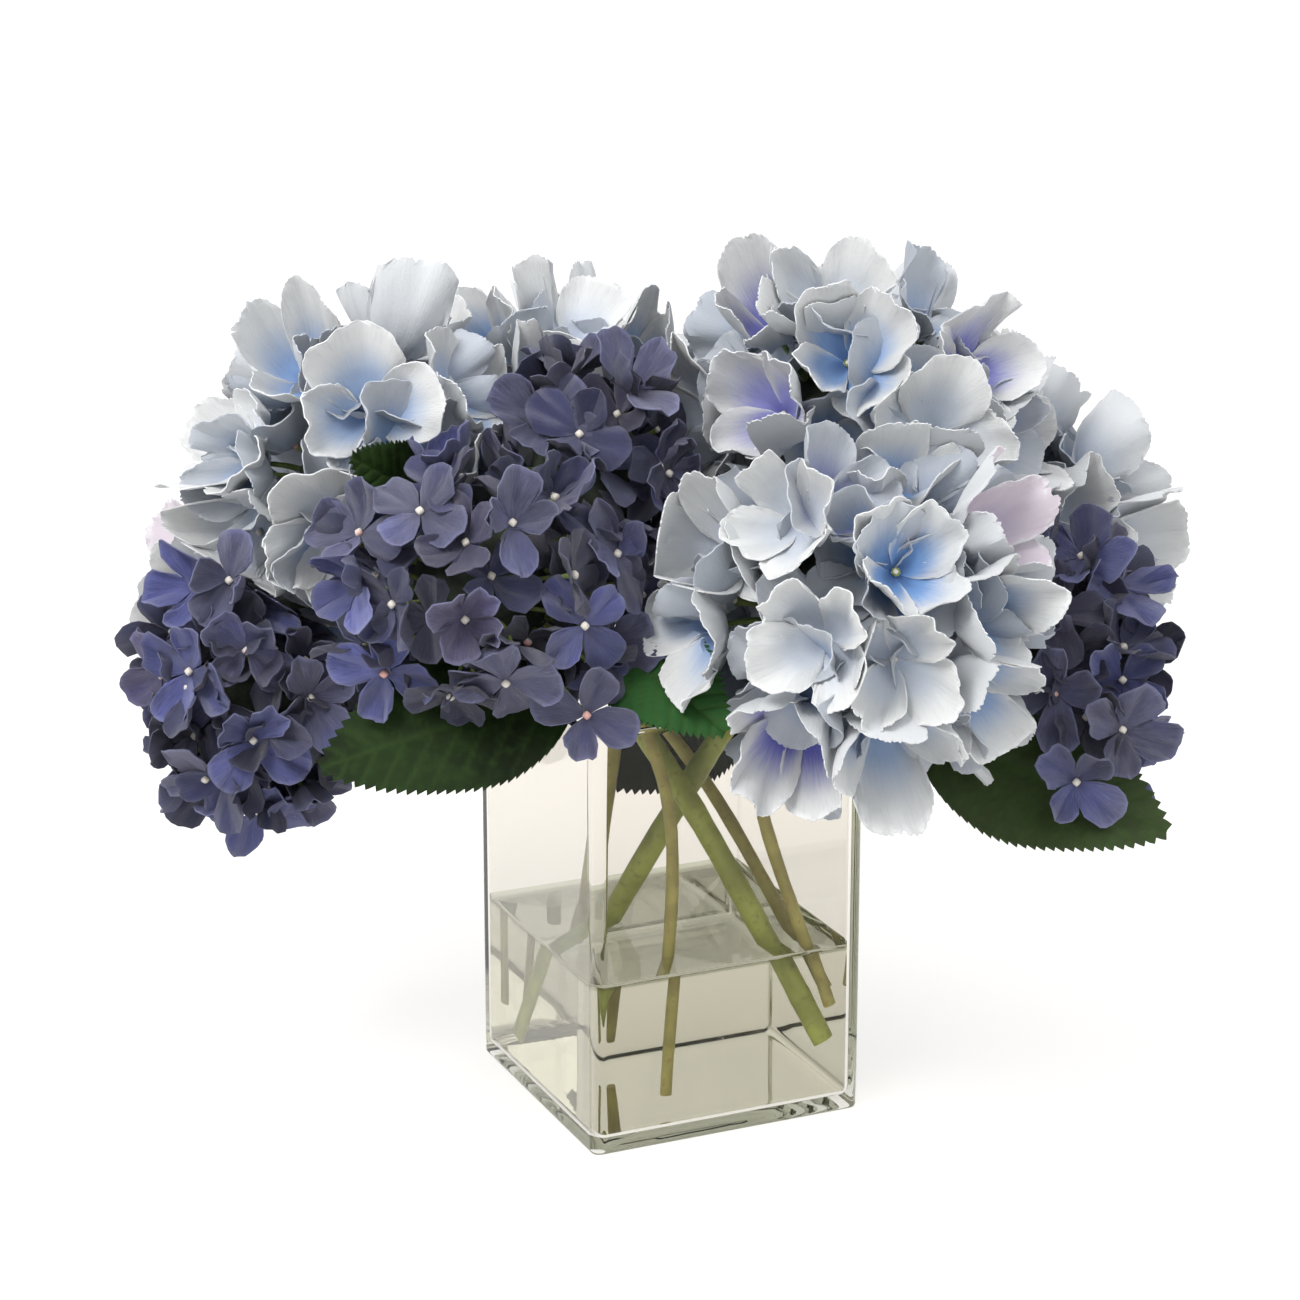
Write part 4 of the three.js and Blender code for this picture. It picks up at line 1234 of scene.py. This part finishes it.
def make_stem(name, stem):
    chance = random.Random(name)
    surface = Surface()
    routes = [(stem.route, 1.0)] + [(branch_route(stem, to), BRANCH_SHARE) for to in stem.branches]
    for route, share in routes:
        path = curve_through(route, STEM_STEPS)
        t = np.linspace(0, 1, len(path))
        swell = 1 + 0.03 * np.sin(t * 31 + chance.uniform(0, 6)) + 0.02 * np.sin(t * 83)
        surface.add(*tube(path, stem.radius * share * swell, STEM_SIDES))
    look = GREEN["thick"] if stem.radius > THICK_FROM else GREEN["thin"]
    settled(surface.build(name + "_stem", [look]), "stem", name)


# Vase and water
ARC_STEPS = 6
ARC_HOLD = 0.5


def square_loop(side, corner, height):
    """A square with round corners, and a point close to each end of every arc, so that its sides stay flat"""
    half = side / 2 - corner
    points = []
    for quarter in range(4):
        c, s = math.cos(quarter * math.pi / 2), math.sin(quarter * math.pi / 2)
        local = [(half + corner, half - ARC_HOLD)]
        for k in range(ARC_STEPS + 1):
            angle = k / ARC_STEPS * math.pi / 2
            local.append((half + corner * math.cos(angle), half + corner * math.sin(angle)))
        local.append((half - ARC_HOLD, half + corner))
        points += [(x * c - y * s, x * s + y * c, height) for x, y in local]
    return np.array(points)


def rounded(side, corner, low, inset, rise, start, stop, steps=5):
    """Loops round a quarter of an edge: from start to stop in degrees, inset and rise are its radius"""
    loops = []
    for k in range(steps + 1):
        angle = math.radians(start + (stop - start) * k / steps)
        shrink = inset * (1 - math.cos(angle))
        loops.append(square_loop(side - 2 * shrink, max(corner - shrink, 0.4), low + rise * math.sin(angle)))
    return loops


def basin(wide, corner, edge, floor):
    """Loops from the middle of an inner floor out and up round its edge"""
    loops = [square_loop(wide * 0.5, 1, floor), square_loop(wide - 2 * edge - FLAT_HOLD, 0.6, floor)]
    return loops + rounded(wide, corner, floor + edge, edge, edge, -90, 0)


VASE_CORNER = 3.5
VASE_EDGE = 1.8
INNER_CORNER = 3.0
INNER_EDGE = 3.0
FLAT_HOLD = 0.6
FOOT_RING = 4.0
HOLLOW = 0.8
HOLLOW_STEPS = (0.15, 0.35, 0.55, 0.75, 0.9, 1)
MENISCUS = 2.2
MENISCUS_WIDTH = 3.2
THINNER = 1.0  # the wall, than the solid's
WATER_GAP = 0.06
WATER = (1.33, (0.95, 0.95, 0.91), (0.7, 0.7, 0.58), 8.0)


def vase_sizes():
    low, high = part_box("vase")
    water_low, water_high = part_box("water")
    side = (high.x - low.x) / MM
    inner = (water_high.x - water_low.x) / MM + 2 * (GAP + THINNER)
    return side, high.z / MM, inner, water_low.z / MM - GAP, water_high.z / MM


def make_vase():
    side, height, inner, floor, _ = vase_sizes()
    e = VASE_EDGE
    foot = side - 2 * e - 2 * FOOT_RING
    loops = [square_loop(foot * share, 1 + share, HOLLOW * (1 - share**3)) for share in HOLLOW_STEPS]
    loops.append(square_loop(side - 2 * e - FLAT_HOLD, VASE_CORNER - e, 0))
    loops += rounded(side, VASE_CORNER, e, e, e, -90, 0)
    loops += [square_loop(side, VASE_CORNER, z) for z in (e + FLAT_HOLD, height - e - FLAT_HOLD)]
    loops += rounded(side, VASE_CORNER, height - e, e, e, 0, 90)
    loops += rounded(inner, INNER_CORNER, height - 1, -1, 1, 90, 0)
    levels = (height - 1 - FLAT_HOLD, floor + INNER_EDGE + FLAT_HOLD)
    loops += [square_loop(inner, INNER_CORNER, z) for z in levels]
    loops += reversed(basin(inner, INNER_CORNER, INNER_EDGE, floor))
    surface = Surface()
    surface.add(*closed(loops))
    glass = glass_look("glass", (0.9, 0.875, 0.84), 1.5, (0.94, 0.93, 0.91), (0.66, 0.67, 0.58), 24.0)
    settled(surface.build("vase_glass", [glass], turn=0, sharp=80), "glass", "vase")


def make_water():
    inner, floor, level = vase_sizes()[2:]
    wide, corner = inner - 2 * WATER_GAP, INNER_CORNER - WATER_GAP
    loops = basin(wide, corner, INNER_EDGE - WATER_GAP, floor + WATER_GAP)
    loops += [square_loop(wide, corner, z) for z in (floor + 8, level)]
    for share in (0, 0.12, 0.3, 0.55, 1):
        rise = MENISCUS * (1 - share) ** 2.5
        shrink = MENISCUS_WIDTH * share
        loops.append(square_loop(wide - 2 * shrink - 0.02, max(corner - shrink, 0.5), level + rise))
    loops.append(square_loop(wide * 0.5, 1, level))
    surface = Surface()
    points, faces = closed(loops)
    surface.add(points, faces, slot=points[faces].mean(1)[:, 2] > level - 0.01)
    looks = [glass_look("water", (0.93, 0.94, 0.9), *WATER)]
    # Painted shade: the water's top face is tinted darker and greener than the rest of the water
    looks.append(glass_look("water_top_painted_shade", (0.76, 0.8, 0.7), *WATER))
    settled(surface.build("water_fill", looks, turn=0, sharp=80), "water", "water")


# Stage, in metres. Lamps: azimuth and elevation in degrees, distance, side, watts and colour
LAMPS = [
    ("key", -42, 48, 1.2, 0.5, 10.5, (1, 0.985, 0.965)),
    ("fill", 50, 30, 1.4, 0.9, 2.5, (0.96, 0.98, 1)),
    ("back", 170, 55, 1.3, 0.8, 3, (1, 1, 1)),
]
LAMPS_AIM = 0.16
LENS = 103.85
CAMERA_RIGHT = -0.0064
CAMERA_AIM = 0.1612
CAMERA_PITCH = 17.2
CAMERA_DISTANCE = 1.3
FLOOR_HALF = 8
FLOOR_GLOW = 0.69
SKY_LIGHT = 1.05
BOUNCES = 20


def make_floor():
    mesh = bpy.data.meshes.new("floor")
    corners = [(-FLOOR_HALF, -FLOOR_HALF, 0), (FLOOR_HALF, -FLOOR_HALF, 0)]
    corners += [(FLOOR_HALF, FLOOR_HALF, 0), (-FLOOR_HALF, FLOOR_HALF, 0)]
    mesh.from_pydata(corners, [], [(0, 1, 2, 3)])
    look = Look("floor")
    color = look.between(look.noise(3.0), (160, 159, 157), (163, 162, 161))
    look.set(Base_Color=color, Roughness=0.9, Emission_Color=(1, 0.995, 0.985), Emission_Strength=FLOOR_GLOW)
    mesh.materials.append(look.material)
    linked("floor", mesh)


def aim(thing, spot, azimuth, elevation, distance):
    """Sets a lamp or camera that far from a spot, looking at it. Azimuth 0 is the photo's, right is more."""
    a, e = math.radians(azimuth) + BOUQUET_TURN, math.radians(elevation)
    back = Vector((math.sin(a) * math.cos(e), -math.cos(a) * math.cos(e), math.sin(e)))
    thing.location = spot + back * distance
    thing.rotation_euler = back.to_track_quat("Z", "Y").to_euler()


def make_lamps():
    for name, azimuth, elevation, distance, size, power, color in LAMPS:
        data = bpy.data.lights.new(name, "AREA")
        data.size, data.energy, data.color = size, power, color
        aim(linked(name, data), Vector((0, 0, LAMPS_AIM)), azimuth, elevation, distance)


def make_world():
    world = bpy.data.worlds.new("studio")
    bpy.context.scene.world = world
    world.use_nodes = True
    sky = Nodes(world.node_tree)
    split = sky.node("ShaderNodeSeparateXYZ", {0: sky.node("ShaderNodeTexCoord").outputs["Generated"]})
    height = sky.node("ShaderNodeMapRange", {"Value": split.outputs["Z"], "From Min": 0.05, "From Max": 0.5})
    shade = sky.mix(height.outputs["Result"], (0.5, 0.5, 0.48), (1.0, 1.0, 1.0))
    background = sky.tree.nodes["Background"].inputs
    sky.put(background["Color"], shade)
    sky.put(background["Strength"], SKY_LIGHT)


def make_camera():
    camera = linked("camera", bpy.data.cameras.new("camera"))
    camera.data.sensor_width = 36
    camera.data.lens = LENS
    right = Vector((math.cos(BOUQUET_TURN), math.sin(BOUQUET_TURN), 0))
    aim(camera, right * CAMERA_RIGHT + Vector((0, 0, CAMERA_AIM)), 0, CAMERA_PITCH, CAMERA_DISTANCE)
    bpy.context.scene.camera = camera


make_camera()
make_world()
make_lamps()
make_floor()
for head_name, head_spec in HEADS.items():
    make_head(head_name, head_spec)
for leaf_name, leaf_spec in LEAVES.items():
    make_leaf(leaf_name, leaf_spec)
for stem_name, stem_spec in STEMS.items():
    make_stem(stem_name, stem_spec)
make_vase()
make_water()
bpy.context.scene.view_settings.view_transform = "Standard"
bpy.context.scene.cycles.glossy_bounces = BOUNCES
bpy.context.scene.cycles.transmission_bounces = BOUNCES
bpy.context.scene.cycles.max_bounces = BOUNCES
